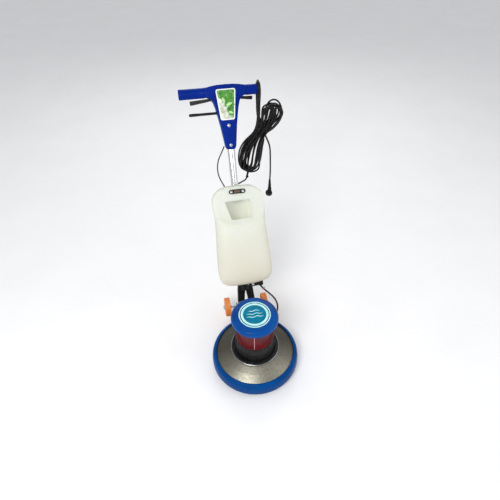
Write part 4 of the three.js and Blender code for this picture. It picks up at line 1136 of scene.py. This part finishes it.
# ------------------------ water valve
VALVE_AXIS = shift(0, VALVE_Y, VALVE_S) @ turn(90, "Y")
on_handle(
    "valve_body", "black_plastic", ["water_valve"],
    moved(lathe([
        (0, VALVE_S), (9, VALVE_S), (9, 181, 0.8), (12, 181.2, 0.5), (12, 185.6, 0.5), (0, 185.6)], 36),
        shift(VALVE_X, VALVE_Y)),
    moved(lathe([
        (4.6, 46, 0.4), (11.5, 46, 1), (13, 49, 1), (13, 56, 0.6), (12.2, 57, 0.4), (12.2, 80, 0.4),
        (13, 81, 0.6), (13, 89, 1), (11, 92, 1), (0, 92), (0, 69), (4.6, 69)], 48), VALVE_AXIS),
    moved(lathe([
        (0, -29), (4, -29, 0.4), (5, -25, 0.3), (4.3, -24.6, 0.3), (5, -20, 0.3), (4.3, -19.6, 0.3),
        (5, -15, 0.3), (5, 0), (0, 0)], 32), shift(VALVE_X, VALVE_Y, VALVE_S) @ turn(-35, "Y")),
    brick(17, 48, VALVE_Y - 5, VALVE_Y + 5, VALVE_S - 13, VALVE_S - 9, 1),
    brick(17, 20, VALVE_Y - 5, VALVE_Y + 5, VALVE_S - 12, VALVE_S + 5, 0.8))
on_handle("cable_nut", "steel", (), moved(
    together(hexagon(5.6, -2.5, 2.5), tube(0, 3.8, 2, 7, (0, 0.4, 0.6, 0), 20)),
    shift(17, VALVE_Y, VALVE_S) @ turn(-90, "Y")))
cable_clip = together(
    tube(POLE_R + 0.1, POLE_R + 1.6, -4, 4, (0.3, 0.4, 0.4, 0.3), 48),
    moved(tube(3.1, 5, -4, 4, (0.3, 0.6, 0.6, 0.3), 28), shift(-31)),
    brick(-27.5, -19.5, -2, 2, -3.4, 3.4, 0.6))
on_handle("cable_clips", "black_plastic", (), *(moved(cable_clip, shift(z=s)) for s in (560, 480, 390)))

# ------------------------ CAD pieces that stay
BEVELLED = {"rear_bracket": ("black_paint", 1.2), "pivot_pin": ("steel", 1.0), "wheel_axle": ("steel", 0.6),
            "drive_hub": ("steel", 0.8)}
INSIDE = {
    "steel": ["planet_carrier", "motor_shaft", "sun_pinion", *(f"planet_gear_{k}" for k in (1, 2, 3)),
              "ring_gear", "output_bearing", "lower_motor_bearing", "upper_motor_bearing", "valve_plunger"],
    "lamination": ["rotor_core", "stator_core"], "copper": ["stator_winding"],
    "black_paint": ["gearcase_cover", "upper_end_shield"], "black_plastic": ["cooling_fan", "micro_switch"]}
SHARP = math.radians(35)
for name, (look, width) in BEVELLED.items():
    bevel = frame["nodes"][name].modifiers.new("edges", "BEVEL")
    bevel.width = width * MM
    bevel.segments = 3
    bevel.limit_method = "ANGLE"
    bevel.angle_limit = SHARP
    INSIDE[look].append(name)
for look, names in INSIDE.items():
    for name in names:
        mesh = frame["nodes"][name].data
        mesh.materials.clear()
        mesh.materials.append(LOOKS[look])
        mesh.shade_smooth()
        mesh.set_sharp_from_angle(angle=SHARP)
